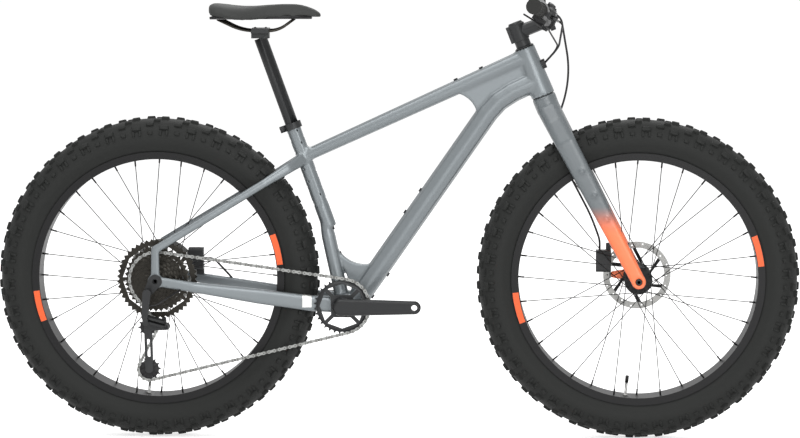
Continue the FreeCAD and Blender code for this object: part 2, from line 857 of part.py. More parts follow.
def seat_collar():
    """Clamp ring round the top of the seat tube, with its lug and bolt."""
    outer = s.seat_tube_radius + s.collar_wall
    middle = -s.collar_height / 2
    ring = Part.makeCylinder(outer, s.collar_height, V(0, 0, -s.collar_height))
    lug = block(
        V(-outer - s.collar_lug, -s.collar_lug, -s.collar_height),
        V(-s.seat_tube_radius, s.collar_lug, 0))
    ring = ring.fuse(lug).cut([
        Part.makeCylinder(s.seat_tube_radius, s.collar_height * 2, V(0, 0, -s.collar_height * COLLAR_BORE_SHARE)),
        block(V(-outer * 2, -s.bolt_radius / 2, -s.collar_height), V(0, s.bolt_radius / 2, 0)),
    ])
    bolt_way = V(-outer - s.collar_lug / 2, 0, middle)
    hole = across(s.bolt_radius, -s.collar_lug * 2, s.collar_lug * 2, bolt_way)
    bolt = across(s.bolt_radius, -s.collar_lug, s.collar_lug, bolt_way)
    head = across(s.bolt_radius * BOLT_HEAD_SHARE, -s.collar_lug - s.bolt_radius, -s.collar_lug, bolt_way)
    return Part.Compound([ring.cut(hole), bolt.fuse(head)])


feature("seat_collar", seat_collar(), SEAT_FRAME)


def thru_axle(width, radius, dropout, head_side):
    """Hollow axle through hub and dropouts, with the hub's fixed end caps."""
    half = width / 2
    end = half + dropout
    axle = across(radius, -end, end)
    for side in (1, -1):
        axle = axle.fuse(across(s.end_cap_radius, side * half, side * (half - s.end_cap_length)))
    axle = axle.fuse(across(radius * AXLE_HEAD_SHARE, head_side * end, head_side * (end + s.bolt_radius)))
    return axle.cut(across(s.axle_bore_radius, -width, width))


feature("rear_axle", thru_axle(s.rear_hub_width, s.rear_axle_radius, s.dropout_thickness, 1), hub_frame(REAR_AXLE))


# Seatpost and saddle, in the seat tube's own frame

def seatpost():
    """Round post with a bore and a cradle for the saddle clamp."""
    post = Part.makeCylinder(s.post_radius, s.post_insert + s.post_reach, V(0, 0, -s.post_insert))
    bore = Part.makeCylinder(
        s.post_radius - s.post_wall, s.post_insert + s.post_reach * POST_BORE_SHARE, V(0, 0, -s.post_insert - s.cut_overrun))
    cradle = block(V(-s.clamp_length / 2, -s.post_radius, 0), V(s.clamp_length / 2, s.post_radius, s.clamp_height))
    cradle.Placement = FreeCAD.Placement(V(0, 0, s.post_reach), FreeCAD.Rotation(Y_AXIS, SEAT_LEAN))
    return post.cut(bore).fuse(cradle).removeSplitter()


POST_TOP = SEAT_TOP + SEAT_UP * s.post_reach
CRADLE_TOP = POST_TOP + Z_AXIS * s.clamp_height
RAIL_HEIGHT = CRADLE_TOP.z + s.clamp_height / 2
feature("seatpost", seatpost(), SEAT_FRAME)


def saddle_clamp():
    """Lower and upper clamp plates that grip the rails, with two bolts."""
    half = s.clamp_length / 2
    side = s.clamp_width / 2
    base = CRADLE_TOP
    middle = s.clamp_height / 2
    lower = block(base + V(-half, -side, 0), base + V(half, side, middle))
    upper = block(base + V(-half, -side, middle), base + V(half, side, s.clamp_height))
    grooves = [rod(
        s.rail_radius,
        base + V(-s.clamp_length, spread, middle), base + V(s.clamp_length, spread, middle))
        for spread in (-s.rail_spread, s.rail_spread)]
    bolts = []
    for place in (-half * CLAMP_BOLT_SHARE, half * CLAMP_BOLT_SHARE):
        start = base + V(place, 0, 0)
        bolts.append(rod(s.bolt_radius, start, start + Z_AXIS * (s.clamp_height + s.bolt_radius)))
    lower = lower.cut(grooves + bolts)
    upper = upper.cut(grooves + bolts)
    return Part.Compound([lower, upper] + bolts)


feature("saddle_clamp", saddle_clamp())

SADDLE_REAR = -s.saddle_rear_behind_middle
PAD_BASE = s.saddle_top_height - s.saddle_pad_depth
# Rows of (share of length, share of width, share of pad depth lost at the top, share of drop of the base)
PAD_SHARES = (
    (0, 0.55, 0.18, 0.1),
    (0.06, 0.9, 0.02, 0.35),
    (0.16, 1, 0.06, 0.45),
    (0.3, 0.86, 0.1, 0.3),
    (0.5, 0.48, 0.04, 0),
    (0.75, 0.31, 0, 0),
    (0.93, 0.29, 0.05, 0.05),
    (1, 0.16, 0.35, 0.1),
)
# Half section of the pad from the middle of the top to the base: share of half width, share of height
PAD_SECTION_SHARES = ((0, 1), (0.35, 0.96), (0.66, 0.84), (0.9, 0.63), (1, 0.36), (0.96, 0.14), (0.82, 0))


def saddle_section(x, half, base, top):
    """Closed section of the saddle: flat base, drawn-in sides and a crowned top."""
    side = [V(x, half * out, base + (top - base) * up) for out, up in PAD_SECTION_SHARES]
    other = [V(x, -point.y, point.z) for point in side[:0:-1]]
    ring = side + other
    return Part.makePolygon(ring + ring[:1])


def saddle_pad():
    """Padded cover of the saddle."""
    sections = []
    for place, width, sunk, drop in PAD_SHARES:
        x = SADDLE_REAR + s.saddle_length * place
        top = s.saddle_top_height - s.saddle_pad_depth * sunk
        base = PAD_BASE - s.saddle_shell_depth * drop
        sections.append(saddle_section(x, s.saddle_width / 2 * width, base, top))
    return Part.makeLoft(sections, True, True)


SHELL_SHARE = 0.9


def saddle_shell(pad):
    """Moulded base under the padding, hollow below."""
    sections = []
    for place, width, sunk, drop in PAD_SHARES[1:-1]:
        x = SADDLE_REAR + s.saddle_length * place
        top = PAD_BASE + s.saddle_pad_depth * SHELL_RISE_SHARE
        base = PAD_BASE - s.saddle_shell_depth
        sections.append(saddle_section(x, s.saddle_width / 2 * width * SHELL_SHARE, base, top))
    body = Part.makeLoft(sections, True, True)
    room = pad.copy()
    room.translate(V(0, 0, -s.seat_gap))
    body = body.cut([pad, room])
    return max(body.Solids, key=lambda solid: solid.Volume)


pad_shape = saddle_pad()
feature("saddle_pad", pad_shape)
shell_shape = saddle_shell(pad_shape)
feature("saddle_shell", shell_shape)

RAIL_SIDES = 8
RAIL_REAR_SHARE = 0.12
RAIL_FRONT_SHARE = 0.78


def saddle_rails(shell):
    """Two bent rails between the clamp and the shell."""
    rails = []
    socket = PAD_BASE - s.saddle_shell_depth
    for side in (-1, 1):
        spread = side * s.rail_spread
        rear = SADDLE_REAR + s.saddle_length * RAIL_REAR_SHARE
        front = SADDLE_REAR + s.saddle_length * RAIL_FRONT_SHARE
        points = [
            V(rear, spread * RAIL_SPREAD_SHARE, socket),
            V(CRADLE_TOP.x - s.clamp_length, spread, RAIL_HEIGHT),
            V(CRADLE_TOP.x + s.clamp_length, spread, RAIL_HEIGHT),
            V(front, spread / 2, socket),
        ]
        rail = piped(points, s.rail_radius, RAIL_SIDES)[0].cut(shell)
        rails.append(max(rail.Solids, key=lambda solid: solid.Volume))
    return Part.Compound(rails)


feature("saddle_rails", saddle_rails(shell_shape))


# Fork, in the steering frame

FORK_TIP = STEER_FRAME.inverse().multVec(FRONT_AXLE)
LEG_SHARES = (0, 0.09, 0.2, 0.6, 1)


def fork():
    """Steerer, crown and two straight tapered legs."""
    steerer_top = STEM_BASE + s.stem_height
    steerer = Part.makeCylinder(s.steerer_lower_radius, s.bearing_height + s.cut_overrun)
    steerer = steerer.multiFuse([
        Part.makeCone(
            s.steerer_lower_radius, s.steerer_radius, s.steerer_taper_length,
            V(0, 0, s.bearing_height + s.cut_overrun)),
        Part.makeCylinder(s.steerer_radius, steerer_top),
    ])
    crown = Part.makeCone(s.crown_depth / 2, s.head_bottom_radius, s.crown_height, V(0, 0, -s.crown_height - s.seat_gap))
    crown = crown.fuse(Part.makeCylinder(s.steerer_lower_radius, s.crown_height, V(0, 0, -s.crown_height)))
    spreads = (s.leg_root_spread, s.crown_spread, s.leg_spread, s.leg_spread, s.leg_tip_spread)
    depths = (s.crown_depth, (s.crown_depth + s.leg_top_depth) / 2, s.leg_top_depth, s.leg_middle_depth,
              s.leg_tip_depth)
    widths = (s.leg_root_width, s.leg_root_width, s.leg_top_width, s.leg_middle_width, s.leg_tip_width)
    start = V(0, 0, -s.crown_depth / 2)
    leg = lofted_tube([
        (start + (FORK_TIP - start) * share + V(0, spread, 0), depth, width)
        for share, spread, depth, width in zip(LEG_SHARES, spreads, depths, widths)])
    reach = s.axle_to_crown
    leg = leg.cut(block(V(-reach, -reach, -reach), V(reach, 0, reach)))
    half = s.front_hub_width / 2
    boss = across(s.leg_tip_depth / 2, half, half + s.leg_tip_width, FORK_TIP)
    inside = across(s.leg_tip_depth, 0, half, FORK_TIP)
    leg = leg.cut(inside).fuse(boss)
    hole = across(s.front_axle_radius, -s.front_hub_width, s.front_hub_width, FORK_TIP)
    bore = Part.makeCylinder(
        s.steerer_radius - s.post_wall, steerer_top + s.cut_overrun, V(0, 0, s.steerer_taper_length))
    whole = steerer.multiFuse([crown, leg, mirrored(leg)] + fork_posts() + leg_bosses())
    return whole.cut([hole, bore]).removeSplitter()


def fork_posts():
    """Two tapered brake tabs on the back of the left leg."""
    posts = []
    to_fork = STEER_FRAME.inverse()
    low = FRONT_ROTOR_Y + s.post_offset - s.post_width / 2
    for sign, reach in ((-1, s.lower_post_reach), (1, s.upper_post_reach)):
        face = FRONT_AXLE + V(s.caliper_length / 2 - s.caliper_lead, 0, s.caliper_rise + sign * s.post_spacing / 2)
        rise = V(0, 0, s.post_height / 2)
        tab = slab(
            [(face - rise, 0), (face + rise, 0), (face + rise * 2 + X_AXIS * reach, 0),
             (face - rise * 2 + X_AXIS * reach, 0)],
            low, low + s.post_width)
        tab.Placement = to_fork.multiply(tab.Placement)
        posts.append(tab.cut(across(s.rotor_seat_radius + s.cut_overrun, 0, s.front_hub_width / 2, FORK_TIP)))
    return posts


LEG_BOSS_SHARES = (0.4, 0.53, 0.66)


def leg_bosses():
    """Three rack bosses on the outside of each leg."""
    bosses = []
    for share in LEG_BOSS_SHARES:
        place = FORK_TIP * share
        for side in (-1, 1):
            bosses.append(across(s.boss_radius, side * s.leg_spread, side * s.leg_boss_reach, place))
    return bosses


feature("fork", fork(), STEER_FRAME)
feature(
    "front_axle",
    thru_axle(s.front_hub_width, s.front_axle_radius, s.leg_tip_width, 1),
    hub_frame(FRONT_AXLE))

# Stem, handlebar and controls

COVER_TOP = "@head_tube_length + @bearing_height / 2"
SPACER_BASE = COVER_TOP + " + @seat_gap"
STEM_FOOT = COVER_TOP + " + @spacer_height"
UPRIGHT_STEER = FreeCAD.Placement(CROWN, FreeCAD.Rotation(Y_AXIS, STEER_UP))
STEERER_BORE = "@steerer_radius + @running_clearance"
spacer = turned_body("spacer", profile_of(
    (STEERER_BORE, SPACER_BASE),
    ("@spacer_radius", SPACER_BASE),
    ("@spacer_radius", STEM_FOOT),
    (STEERER_BORE, STEM_FOOT),
), UPRIGHT_STEER, keep=False)
CAP_BASE = STEM_FOOT + " + @stem_height"
top_cap = turned_body("top_cap", profile_of(
    ("0", CAP_BASE),
    ("@spacer_radius", CAP_BASE),
    ("@spacer_radius - @top_cap_height / 2", CAP_BASE + " + @top_cap_height"),
    ("@bolt_radius * 1.6", CAP_BASE + " + @top_cap_height"),
    ("@bolt_radius * 1.6", CAP_BASE + " + @top_cap_height / 2"),
    ("0", CAP_BASE + " + @top_cap_height / 2"),
), UPRIGHT_STEER, keep=False)
feature("headset_spacers", Part.Compound([spacer.Shape, top_cap.Shape]))

STEM_LIP_SHARE = 0.15


def stem():
    """Steerer clamp, tapered body and the rear half of the bar clamp."""
    middle = STEM_BASE + s.stem_height / 2
    clamp = Part.makeCylinder(s.stem_clamp_radius, s.stem_height, V(0, 0, STEM_BASE))
    body = lofted_tube([
        (V(0, 0, middle), s.stem_body_radius * 2, s.stem_body_radius * 2),
        (V(s.stem_length, 0, middle), s.stem_nose_height, s.stem_nose_width),
    ])
    centre = V(s.stem_length, 0, middle)
    shell = across(s.bar_clamp_radius + s.faceplate_wall, -s.bar_clamp_half, s.bar_clamp_half, centre)
    rear_lug = block(
        V(-s.stem_clamp_radius - s.faceplate_wall, -s.faceplate_wall * 2, STEM_BASE),
        V(-s.steerer_radius, s.faceplate_wall * 2, STEM_BASE + s.stem_height))
    bar_room = across(s.bar_clamp_radius, -s.bar_clamp_half * 2, s.bar_clamp_half * 2, centre)
    front = block(
        centre + V(s.bar_clamp_radius * STEM_LIP_SHARE, -s.bar_clamp_half * 2, -s.stem_height),
        centre + V(s.stem_height, s.bar_clamp_half * 2, s.stem_height))
    steerer_room = Part.makeCylinder(s.steerer_radius, s.stem_height * 2, V(0, 0, STEM_BASE - s.stem_height / 2))
    slit = block(
        V(-s.stem_clamp_radius * 2, -s.bolt_radius / 2, STEM_BASE),
        V(0, s.bolt_radius / 2, STEM_BASE + s.stem_height))
    return clamp.multiFuse([body, shell, rear_lug]).cut([bar_room, front, steerer_room, slit]).removeSplitter()


def stem_faceplate():
    """Front half of the bar clamp, open in the middle."""
    centre = V(s.stem_length, 0, STEM_BASE + s.stem_height / 2)
    start = s.bar_clamp_radius * STEM_LIP_SHARE + s.seat_gap
    outer = s.bar_clamp_radius + s.faceplate_wall
    plate = across(outer, -s.bar_clamp_half, s.bar_clamp_half, centre)
    ears = []
    for up in (-1, 1):
        for side in (-1, 1):
            base = centre + V(start, side * s.bar_clamp_half * FACE_BOLT_SHARE, up * outer * FACE_BOLT_RISE_SHARE)
            ears.append(rod(s.faceplate_wall, base, base + X_AXIS * outer * FACE_BOLT_LENGTH_SHARE))
    window = block(
        centre + V(0, -s.bar_clamp_half * FACE_WINDOW_SHARE, -s.bar_clamp_radius / 2),
        centre + V(outer * 2, s.bar_clamp_half * FACE_WINDOW_SHARE, s.bar_clamp_radius / 2))
    rear = block(
        centre + V(-outer * 2, -s.bar_clamp_half * 2, -outer * 2),
        centre + V(start, s.bar_clamp_half * 2, outer * 2))
    bar_room = across(s.bar_clamp_radius, -s.bar_clamp_half * 2, s.bar_clamp_half * 2, centre)
    return plate.multiFuse(ears).cut([rear, bar_room, window])


feature("stem", stem(), STEER_FRAME)
feature("stem_faceplate", stem_faceplate(), STEER_FRAME)

BAR_BEND_SHARES = ((0, 0), (0.13, 0), (0.3, 0.1), (1, 1))
BAR_RISE_SHARES = (0, 0, 0.5, 1)


def bar_points():
    """Route of the bar's left half, from the stem outwards."""
    points = []
    for (out, back), up in zip(BAR_BEND_SHARES, BAR_RISE_SHARES):
        points.append(BAR_CENTRE + V(-s.bar_sweep * back, s.bar_half_width * out, s.bar_rise * up))
    return points


BAR_POINTS = bar_points()
BAR_OUT = (BAR_POINTS[3] - BAR_POINTS[2]).normalize()
BAR_END = BAR_POINTS[3]


def handlebar():
    """Riser bar with a thick middle."""
    left = piped(BAR_POINTS, s.bar_radius)[0]
    thick = across(s.bar_clamp_radius, -s.bar_clamp_half * BAR_THICK_SHARE, s.bar_clamp_half * BAR_THICK_SHARE, BAR_CENTRE)
    return left.multiFuse([mirrored(left), thick]).removeSplitter()


feature("handlebar", handlebar())


GRIP_FRAME = FreeCAD.Placement(BAR_END, upright(BAR_OUT))
GRIP_BORE = "@bar_radius"
GRIP_PROFILE = profile_of(
    (GRIP_BORE, "-@grip_length"),
    ("@grip_flange_radius", "-@grip_length"),
    ("@grip_flange_radius", "-@grip_length + @control_clamp_wall"),
    ("@grip_radius", "-@grip_length + @control_clamp_wall * 2"),
    ("@grip_radius", "-@control_clamp_wall * 2"),
    ("@grip_flange_radius", "-@control_clamp_wall"),
    ("@grip_flange_radius", "@control_clamp_wall / 2"),
    ("0", "@control_clamp_wall / 2"),
    ("0", "@seat_gap / 10"),
    (GRIP_BORE, "@seat_gap / 10"),
)
grip = turned_body("grip", GRIP_PROFILE, GRIP_FRAME, keep=False)
feature("grips", Part.Compound([grip.Shape, mirrored(grip.Shape)]))

# Controls are drawn in a frame on the left grip's inner end: local Y is outwards along the bar,
# local X points forward and down, and local Z completes it.
CONTROL_ORIGIN = BAR_END - BAR_OUT * (s.grip_length + s.control_gap)
TILT = math.radians(s.control_tilt)
CONTROL_X = V(math.cos(TILT), 0, -math.sin(TILT))
CONTROL_X = (CONTROL_X - BAR_OUT * CONTROL_X.dot(BAR_OUT)).normalize()
CONTROL_Z = CONTROL_X.cross(BAR_OUT)
CONTROL_FRAME = FreeCAD.Placement(CONTROL_ORIGIN, FreeCAD.Rotation(CONTROL_X, BAR_OUT, CONTROL_Z, "XYZ"))
LEVER_PIVOT = V(s.master_offset + s.lever_pivot_reach, -s.control_clamp_length, 0)
LEVER_SLOT = s.lever_thickness / 2 + s.seat_gap


def in_control_frame(shape):
    """Carry a shape from the control frame to the bicycle."""
    moved = shape.copy()
    moved.Placement = CONTROL_FRAME.multiply(moved.Placement)
    return moved


def brake_master():
    """Bar clamp, master cylinder, reservoir and the ears that hold the lever."""
    ring = across(s.bar_radius + s.control_clamp_wall, -s.control_clamp_length, 0)
    reach = s.master_offset
    neck = block(
        V(s.bar_radius, -s.control_clamp_length, -s.control_clamp_wall * NECK_SHARE),
        V(reach, 0, s.control_clamp_wall * NECK_SHARE))
    cylinder = across(s.master_radius, -s.master_length, 0, V(reach, 0, 0))
    nose = Part.makeCone(
        s.master_radius, s.hose_radius * 2, s.master_radius, V(reach, -s.master_length, 0), Y_AXIS * -1)
    reservoir = block(
        V(reach - s.master_radius, -s.master_length * RESERVOIR_LENGTH_SHARE, 0),
        V(reach + s.master_radius * RESERVOIR_DEPTH_SHARE, -s.control_clamp_length, s.master_radius * RESERVOIR_RISE_SHARE))
    long_edges = [edge for edge in reservoir.Edges if abs(edge.tangentAt(0).y) > ALONG_SHARE]
    reservoir = reservoir.makeFillet(s.master_radius * RESERVOIR_ROUND_SHARE, long_edges)
    thick = s.control_clamp_wall
    ears = []
    for side in (-1, 1):
        inner = side * LEVER_SLOT
        outer = side * (LEVER_SLOT + thick)
        low, high = min(inner, outer), max(inner, outer)
        ear = block(
            V(reach, LEVER_PIVOT.y - s.lever_width / 2, low),
            V(LEVER_PIVOT.x + s.lever_pivot_radius * 2, LEVER_PIVOT.y + s.lever_width / 2, high))
        ears.append(ear)
    slot = block(
        V(reach, LEVER_PIVOT.y - s.lever_width, -LEVER_SLOT),
        V(reach * 3, s.lever_length, LEVER_SLOT))
    pin = Part.makeCylinder(
        s.lever_pivot_radius, LEVER_SLOT * 2 + thick * 2, LEVER_PIVOT - Z_AXIS * (LEVER_SLOT + thick))
    body = ring.multiFuse([neck, cylinder, nose, reservoir] + ears)
    body = body.cut([across(s.bar_radius, -s.master_length, s.master_length), slot])
    return body.fuse(pin).removeSplitter()


LEVER_WIDTH_SHARES = (0.9, 0.85, 0.75, 0.8, 0.9)
LEVER_SHARES = ((0, 0.25), (0.12, 0.6), (0.3, 1), (0.62, 0.72), (1, 0.95))


def brake_lever():
    """Curved lever blade round its pivot."""
    points = []
    for out, ahead in LEVER_SHARES:
        points.append(LEVER_PIVOT + V(s.lever_pivot_reach * ahead - s.lever_pivot_reach * LEVER_SHARES[0][1],
                                      s.lever_length * out, 0))
    blade = lofted_tube(
        [(point, s.lever_blade, s.lever_width * share) for point, share in zip(points, LEVER_WIDTH_SHARES)],
        side_way=X_AXIS)
    eye = Part.makeCylinder(s.lever_width / 2, s.lever_thickness, LEVER_PIVOT - Z_AXIS * s.lever_thickness / 2)
    hole = Part.makeCylinder(
        s.lever_pivot_radius + s.running_clearance, s.lever_thickness * 2, LEVER_PIVOT - Z_AXIS * s.lever_thickness)
    return blade.fuse(eye).cut(hole).removeSplitter()


master_shape = in_control_frame(brake_master())
lever_shape = in_control_frame(brake_lever())
feature("brake_masters", Part.Compound([master_shape, mirrored(master_shape)]))
feature("brake_lever_left", lever_shape)
feature("brake_lever_right", mirrored(lever_shape))

SHIFTER_Y = -s.control_clamp_length - s.control_gap / 2
PADDLE_PIVOT = V(s.shifter_depth * PADDLE_AHEAD_SHARE, SHIFTER_Y - s.shifter_length * PADDLE_ALONG_SHARE, -s.shifter_drop)


def shifter_body():
    """Shifter pod below the bar, with its clamp ring and paddle pivot."""
    ring = across(s.bar_radius + s.control_clamp_wall, SHIFTER_Y - s.control_clamp_length, SHIFTER_Y)
    low = V(-s.shifter_depth * POD_BACK_SHARE, SHIFTER_Y - s.shifter_length, -s.shifter_drop)
    pod = block(low, low + V(s.shifter_depth, s.shifter_length, s.shifter_height * POD_HEIGHT_SHARE))
    pod = pod.makeFillet(s.control_clamp_wall, [edge for edge in pod.Edges if abs(edge.tangentAt(0).z) > ALONG_SHARE])
    neck = block(
        V(-s.control_clamp_wall * 2, SHIFTER_Y - s.control_clamp_length, -s.shifter_drop),
        V(s.control_clamp_wall * 2, SHIFTER_Y, -s.bar_radius))
    drop = s.paddle_thickness * 3
    pin = Part.makeCylinder(s.lever_pivot_radius, drop, PADDLE_PIVOT - Z_AXIS * drop)
    body = ring.multiFuse([pod, neck, pin])
    return body.cut(across(s.bar_radius, -s.master_length * 2, s.master_length)).removeSplitter()


def paddle(level, back, length):
    """Thumb paddle on the shifter's pin, level counted down from the pod."""
    top = PADDLE_PIVOT.z - s.seat_gap - level * (s.paddle_thickness + s.seat_gap)
    centre = V(PADDLE_PIVOT.x, PADDLE_PIVOT.y, top - s.paddle_thickness)
    tip = centre + V(-back, length, 0)
    radius = s.paddle_width / 2
    span = tip - centre
    plate = Part.makeCylinder(radius, s.paddle_thickness, centre)
    side = V(-span.y, span.x, 0).normalize() * radius
    face = Part.Face(Part.makePolygon([centre + side, tip + side, tip - side, centre - side, centre + side]))
    pad = Part.makeCylinder(radius, s.paddle_thickness, tip)
    plate = plate.multiFuse([face.extrude(Z_AXIS * s.paddle_thickness), pad])
    hole = Part.makeCylinder(
        s.lever_pivot_radius + s.running_clearance, s.paddle_thickness * 2, centre - Z_AXIS * s.paddle_thickness / 2)
    return plate.cut(hole).removeSplitter()


feature("shifter_body", mirrored(in_control_frame(shifter_body())))
feature("shift_paddle_thumb", mirrored(in_control_frame(paddle(0, s.paddle_length, s.paddle_length * PADDLE_SIDE_SHARE))))
feature("shift_paddle_release", mirrored(in_control_frame(paddle(1, -s.paddle_length * RELEASE_BACK_SHARE, s.paddle_length))))


# Wheels

def rim_profile():
    """Bound section of a wide single-wall rim."""
    half = "@rim_width / 2"
    inner = half + " - @rim_flange_thickness"
    rows = [
        ("@rim_bed_radius", half),
        ("@rim_flange_radius", half),
        ("@rim_flange_radius", inner),
        ("@bead_seat_radius", inner),
    ]
    other = [(radius, f"-({place})") for radius, place in reversed(rows)]
    return profile_of(*(rows + other))


CROSSINGS = 3


def spoke_lines(left, right):
    """Hub and rim points of one pair of spokes on each side, to be spread round the wheel."""
    lines = []
    step = 360 / s.spokes_each_side
    for flange, sign, shift in ((left, 1, 0), (right, -1, step / 2)):
        for index in (0, 1):
            lean = CROSSINGS * step * (1 if index == 0 else -1)
            lines.append((flange * sign, sign, index, shift + index * step, lean))
    return lines


def at_angle(radius, degrees, y):
    """Point on a circle round the wheel axis."""
    turn = math.radians(degrees)
    return V(radius * math.cos(turn), y, radius * math.sin(turn))


SPOKE_SIDES = 4


def onto_plane(corners, way, place, normal):
    """Carry corners along a direction until they lie on a plane."""
    return [corner + way * ((place - corner).dot(normal) / way.dot(normal)) for corner in corners]


def corners_of(wire):
    """Corners of a polygon in order, without the repeated one."""
    return [vertex.Point for vertex in wire.OrderedVertexes][:SPOKE_SIDES]


def wall(first, last):
    """Flat side faces between two rings of corners."""
    faces = []
    for index in range(len(first)):
        other = (index + 1) % len(first)
        faces.append(Part.Face(Part.makePolygon(
            [first[index], first[other], last[other], last[index], first[index]])))
    return faces


def spokes(left, right):
    """Laced spokes, each bent at the flange and ending in a nipple under the rim bed."""
    solids = []
    for flange, sign, index, rim_angle, lean in spoke_lines(left, right):
        out = sign * (1 if index == 0 else -1)
        hole = at_angle(s.flange_hole_circle, rim_angle + lean, flange)
        head = hole + V(0, out * s.flange_thickness / 2, 0)
        elbow = head + V(0, out * s.spoke_elbow, 0)
        seat = at_angle(s.rim_bed_radius, rim_angle, sign * s.nipple_row)
        radial = V(seat.x, 0, seat.z).normalize()
        run = (seat - elbow).normalize()
        stub_way = Y_AXIS * out
        low = seat - run * s.nipple_length
        first_side = run.cross(Y_AXIS)
        straight = corners_of(ring_of(SPOKE_SIDES, s.spoke_radius, low, run, first_side))
        nipple = corners_of(ring_of(SPOKE_SIDES, s.nipple_radius, low, run, first_side))
        bent = onto_plane(straight, run, elbow, (stub_way + run).normalize())
        foot = onto_plane(bent, stub_way, head, Y_AXIS)
        top = onto_plane(nipple, run, seat, radial)
        rings = [Part.makePolygon(ring + ring[:1]) for ring in (nipple, straight)]
        step = Part.makeFace(rings, "Part::FaceMakerBullseye")
        faces = wall(foot, bent) + wall(bent, straight) + wall(nipple, top) + [step]
        faces += [Part.Face(Part.makePolygon(ring + ring[:1])) for ring in (foot, top)]
        spoke = Part.Solid(sewn(faces))
        if spoke.Volume < 0:
            spoke.reverse()
        solids += turned_copies(spoke, int(s.spokes_each_side / 2))
    return Part.Compound(solids)


def sewn(faces):
    """Sew faces into one closed shell."""
    compound = Part.Compound(faces)
    compound.sewShape()
    return compound.Shells[0]


VALVE_SIDES = 8
VALVE_TURN = -90 - 90 / s.spokes_each_side


def rim(label, centre):
    """Rim with its valve hole."""
    body = turned_body(label + "_blank", rim_profile(), hub_frame(ORIGIN), keep=False)
    hole = rod(s.valve_radius, at_angle(s.rim_bed_radius / 2, VALVE_TURN, 0), at_angle(s.bead_seat_radius, VALVE_TURN, 0))
    feature(label, body.Shape.cut(hole), hub_frame(centre))


def valve(label, centre):
    """Valve stem through the rim bed, with its nut and cap."""
    def along_stem(radius, depth, length):
        start = s.rim_bed_radius + s.rim_bed_thickness - depth
        return prism(
            VALVE_SIDES, radius, at_angle(start, VALVE_TURN, 0), at_angle(start - length, VALVE_TURN, 0), Y_AXIS)

    stem_rod = along_stem(s.valve_radius, -s.cut_overrun, s.valve_length)
    foot = along_stem(s.valve_radius * 2, -s.cut_overrun, s.cut_overrun)
    nut = along_stem(s.valve_radius * VALVE_NUT_SHARE, s.rim_bed_thickness, s.rim_bed_thickness)
    cap = along_stem(s.valve_cap_radius, s.valve_length - s.valve_cap_length / 2, s.valve_cap_length)
    feature(label, stem_rod.multiFuse([foot, nut, cap]).removeSplitter(), hub_frame(centre))


TYRE_CROWN = s.tyre_radius - s.knob_height
BEAD_HALF = s.rim_width / 2 - s.rim_flange_thickness - s.seat_gap
# Angles round the casing's section from the crown, in degrees
OUTER_TURNS = (13, 42, 78)
INNER_TURNS = (45,)


def casing_side(inset, turns):
    """Points of one side of the casing from the crown to the bead, as (radius, along the axle)."""
    rise = TYRE_CROWN - s.tyre_widest_radius - inset
    half = s.tyre_width / 2 - inset
    points = []
    for degrees in turns:
        turn = math.radians(degrees)
        points.append(V(s.tyre_widest_radius + rise * math.cos(turn), half * math.sin(turn), 0))
    foot = BEAD_HALF - inset
    points.append(V(s.rim_flange_radius + s.bead_rise, foot, 0))
    points.append(V(s.bead_seat_radius + s.seat_gap, foot, 0))
    return points


def tyre_section():
    """Closed section of the casing in the plane of (radius, along the axle)."""
    outer = casing_side(0, OUTER_TURNS)
    inner = casing_side(s.tyre_wall, INNER_TURNS)
    side = outer[::-1] + [V(point.x, -point.y, 0) for point in outer]
    hollow = [V(point.x, -point.y, 0) for point in inner[::-1]] + inner
    ring = side + hollow
    return Part.Face(Part.makePolygon(ring + ring[:1]))


# Tread knobs of one pitch: share of the pitch, angle round the section in degrees, length, width
KNOBS = (
    (-0.24, 15, "knob_length", "knob_width"),
    (0.24, 54, "shoulder_length", "shoulder_width"),
)
KNOB_TOP_SHARE = 0.82


def knob(pitch_share, degrees, length, width, mirror):
    """Block of rubber that stands on the casing, narrower at the top."""
    turn = math.radians(degrees)
    half = s.tyre_width / 2
    rise = TYRE_CROWN - s.tyre_widest_radius
    base = V(s.tyre_widest_radius + rise * math.cos(turn), half * math.sin(turn), 0)
    normal = V(half * math.cos(turn), rise * math.sin(turn), 0).normalize()
    side = V(-normal.y, normal.x, 0)
    wires = []
    for lift, share in ((-s.knob_sink, 1), (s.knob_height, KNOB_TOP_SHARE)):
        centre = base + normal * lift
        ahead = Z_AXIS * (length / 2 * share)
        across_way = side * (width / 2 * share)
        corners = [centre + ahead + across_way, centre + ahead - across_way,
                   centre - ahead - across_way, centre - ahead + across_way]
        wires.append(Part.makePolygon(corners + corners[:1]))
    solid = Part.makeLoft(wires, True, True)
    if mirror:
        solid = mirrored(solid)
        pitch_share = -pitch_share
    solid.rotate(ORIGIN, Y_AXIS, pitch_share * 360 / s.tread_pitches)
    return solid


def tyre():
    """Casing and tread: one pitch is modelled, then copied round and sewn to a closed solid."""
    pitch = 360 / s.tread_pitches
    face = tyre_section()
    face.rotate(ORIGIN, Y_AXIS, pitch / 2)
    sector = face.revolve(ORIGIN, Y_AXIS, -pitch)
    blocks = []
    for share, degrees, length, width in KNOBS:
        for mirror in (False, True):
            blocks.append(knob(share, degrees, getattr(s, length), getattr(s, width), mirror))
    sector = sector.multiFuse(blocks)
    limit = math.radians(pitch / 2)
    skin = []
    for part_face in sector.Faces:
        centre = part_face.CenterOfMass
        if abs(abs(math.atan2(centre.z, centre.x)) - limit) > limit * END_FACE_SHARE:
            skin.append(part_face)
    shell_faces = []
    for index in range(int(s.tread_pitches)):
        for part_face in skin:
            copy = part_face.copy()
            copy.rotate(ORIGIN, Y_AXIS, pitch * index)
            shell_faces.append(copy)
    return Part.Solid(sewn(shell_faces))


ROTOR_ARMS = 6
# Vent holes of one arm: share of the track's width, share of the arm's turn
ROTOR_VENTS = ((0.3, 0), (0.65, 0.33), (0.45, 0.66))


